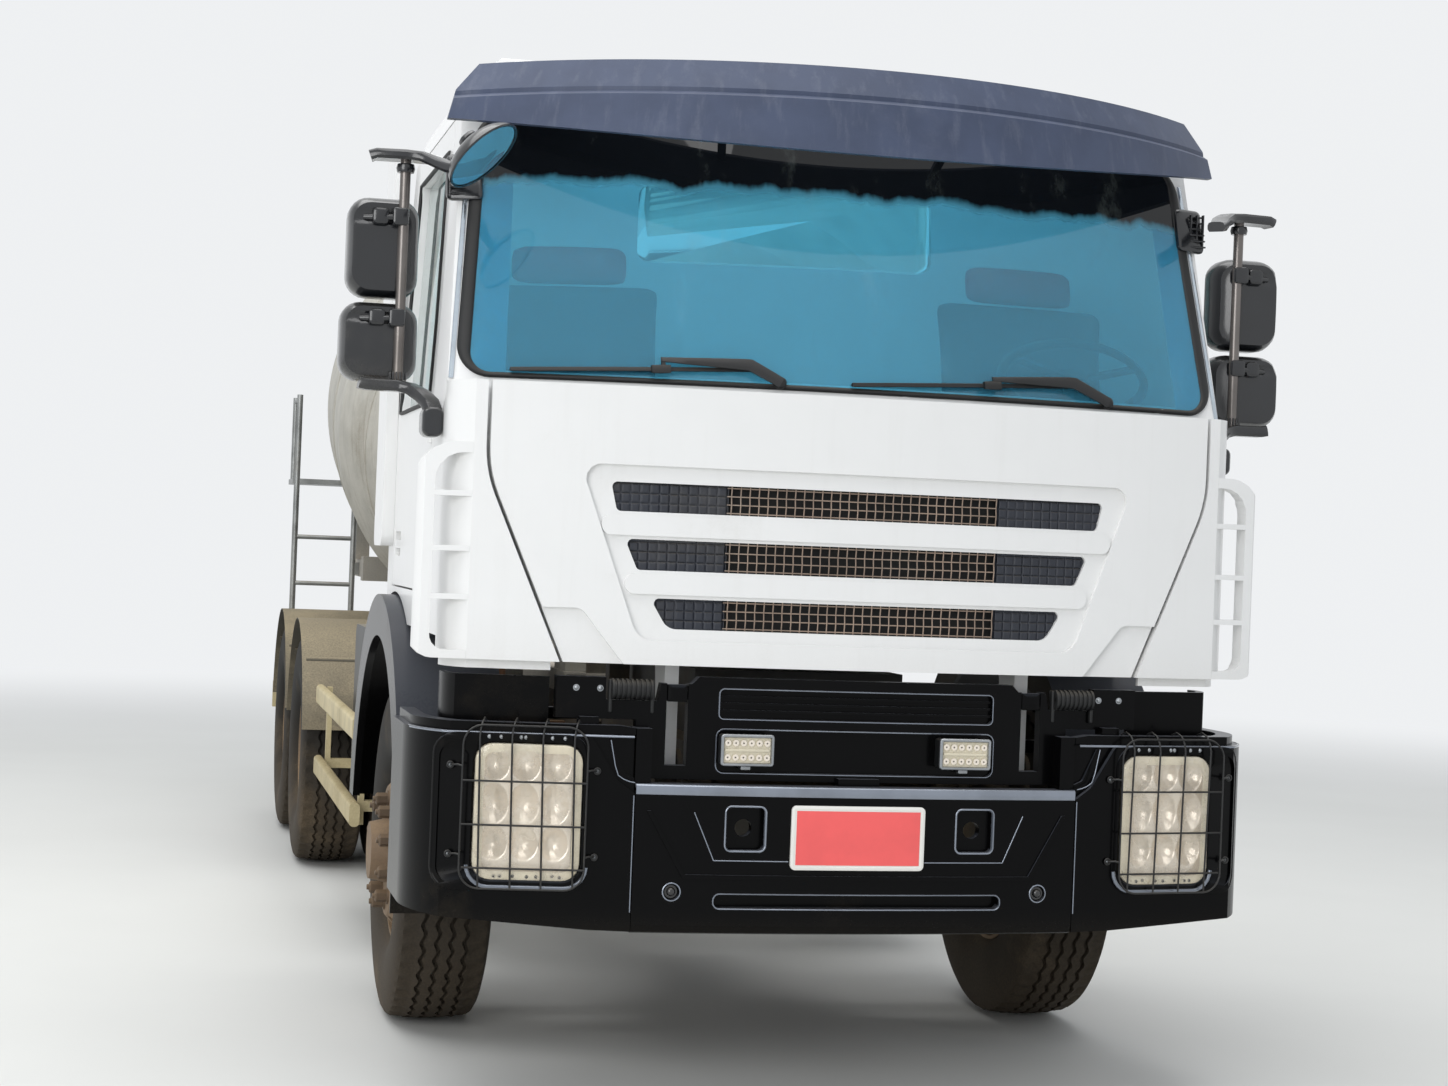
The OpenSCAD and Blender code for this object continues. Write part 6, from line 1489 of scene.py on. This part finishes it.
# %% Bolts along the rails, and seals round the door windows
RAIL_X, BOLT_PITCH = 425, 190
rail_bolts, rail_aims = [], []
for side in (-1, 1):
    for y in range(-900, 6400, BOLT_PITCH):
        for z in (770, 950):
            spot, facing = touch("frame", (side * (RAIL_X + 50), y, z), (-side, 0, 0))
            if spot and facing[0] * side > 0.95 and abs(abs(spot[0]) - RAIL_X) < 4:
                rail_bolts.append((spot[0] - side * 0.5, spot[1], spot[2]))
                rail_aims.append((side, 0, 0))
grown("rail_bolts", rail_bolts, hex_nut, {"radius": 0.013, "height": 0.012, "stud": 0.25},
      finish["chassis_paint"], "chassis", rail_aims)
window = [(-780, 1965), (35, 1965), (35, 2715), (-704, 2715), (-780, 2192)]
for side, hand in ((-1, "right"), (1, "left")):
    ring = []
    for a, b in zip(window, window[1:] + window[:1]):
        for y, z in between(a, b, 14)[:-1]:
            spot, _ = touch("door_" + hand, (side * 1400, y, z), (-side, 0, 0))
            if spot and abs(spot[0]) > 1100:
                ring.append((spot[0] + side * 1.5, y, z))
    wires("door_window_seal_" + hand, [ring + ring[:2]], 7.0, rubber_black, hand + "_door", 8)
print(len(rail_bolts), "rail bolts and", len(ring), "points on a seal")

# %% [markdown]
# ## Floor
# A pale floor catches the truck's shadow and fades into the backdrop further out. A curved studio wall would
# hide the horizon too, but it would stand in the way of cameras that look from behind.

# %% Floor
BACKDROP = (0.86, 0.875, 0.89, 1)
floor_mesh = bpy.data.meshes.new("floor")
corners = [(x, y, -0.002) for x, y in ((-40, -40), (40, -40), (40, 60), (-40, 60))]
floor_mesh.from_pydata(corners, [], [(0, 1, 2, 3)])
floor = shown("floor", floor_mesh)
pale, tree, shader, where, _, _ = blank("pale studio floor")
tree.links.new(mix(tree, noise(tree, where, 0.6, 4), linear("dcdcd8"), linear("d2d2ce")), shader.inputs["Base Color"])
shader.inputs["Roughness"].default_value = 0.75
far = add(tree, "ShaderNodeVectorMath", {0: where}, operation="LENGTH").outputs[1]
path = add(tree, "ShaderNodeLightPath").outputs
looking = calc(tree, "MAXIMUM", path["Is Camera Ray"], path["Is Glossy Ray"])
fade = calc(tree, "MULTIPLY", ramp(tree, far, 6.0, 16.0), looking)
plain = add(tree, "ShaderNodeEmission", {"Color": BACKDROP, "Strength": 1.0})
joint = add(tree, "ShaderNodeMixShader", {0: fade, 1: shader.outputs[0], 2: plain.outputs[0]})
tree.links.new(joint.outputs[0], tree.nodes["Material Output"].inputs[0])
floor_mesh.materials.append(pale)
print("floor of", int(floor.dimensions.x), "by", int(floor.dimensions.y), "metres")

# %% [markdown]
# ## World and lamps
# The truck stood in soft daylight. A pale world lights it from all sides and is what the camera, metal and
# glass see, one large lamp stands for the sky above, a second fills the front, and a faint one shows the seats.
# Small hard lamps would give sharp shadows that the photograph lacks.

# %% World and lamps
world = bpy.data.worlds.new("studio")
bpy.context.scene.world = world
world.use_nodes = True
tree = world.node_tree
tree.nodes.clear()
path = add(tree, "ShaderNodeLightPath").outputs
looking = calc(tree, "MAXIMUM", path["Is Camera Ray"], path["Is Glossy Ray"])
seen = calc(tree, "MAXIMUM", looking, path["Is Transmission Ray"])
light = add(tree, "ShaderNodeBackground", {"Color": (0.80, 0.84, 0.90, 1), "Strength": 0.62})
show = add(tree, "ShaderNodeBackground", {"Color": BACKDROP, "Strength": 1.0})
both = add(tree, "ShaderNodeMixShader", {0: seen, 1: light.outputs[0], 2: show.outputs[0]})
add(tree, "ShaderNodeOutputWorld", {0: both.outputs[0]})


def lamp(name, where, target, size, power):
    """A square soft lamp that looks at a point."""
    data = bpy.data.lights.new(name, "AREA")
    data.size = size
    data.energy = power
    obj = shown(name, data)
    obj.location = where
    obj.rotation_euler = (Vector(target) - Vector(where)).to_track_quat("-Z", "Y").to_euler()


def glow_inside(name, where, power):
    """A small lamp inside the cab, so that the seats show through the tinted screen."""
    data = bpy.data.lights.new(name, "POINT")
    data.energy, data.shadow_soft_size = power, 0.25
    obj = shown(name, data)
    obj.location = place([where])[0]
    obj.visible_camera = obj.visible_transmission = obj.visible_glossy = False


glow_inside("cab light", (0, -700, 2560), 8.0)
lamp("sky panel", (-2.0, -3.0, 12.0), (0, 0, 1), 14.0, 1500.0)
lamp("front fill", (-9.0, -14.0, 5.0), (0, -4, 1.5), 7.0, 650.0)
bpy.context.scene.view_settings.view_transform = "Standard"
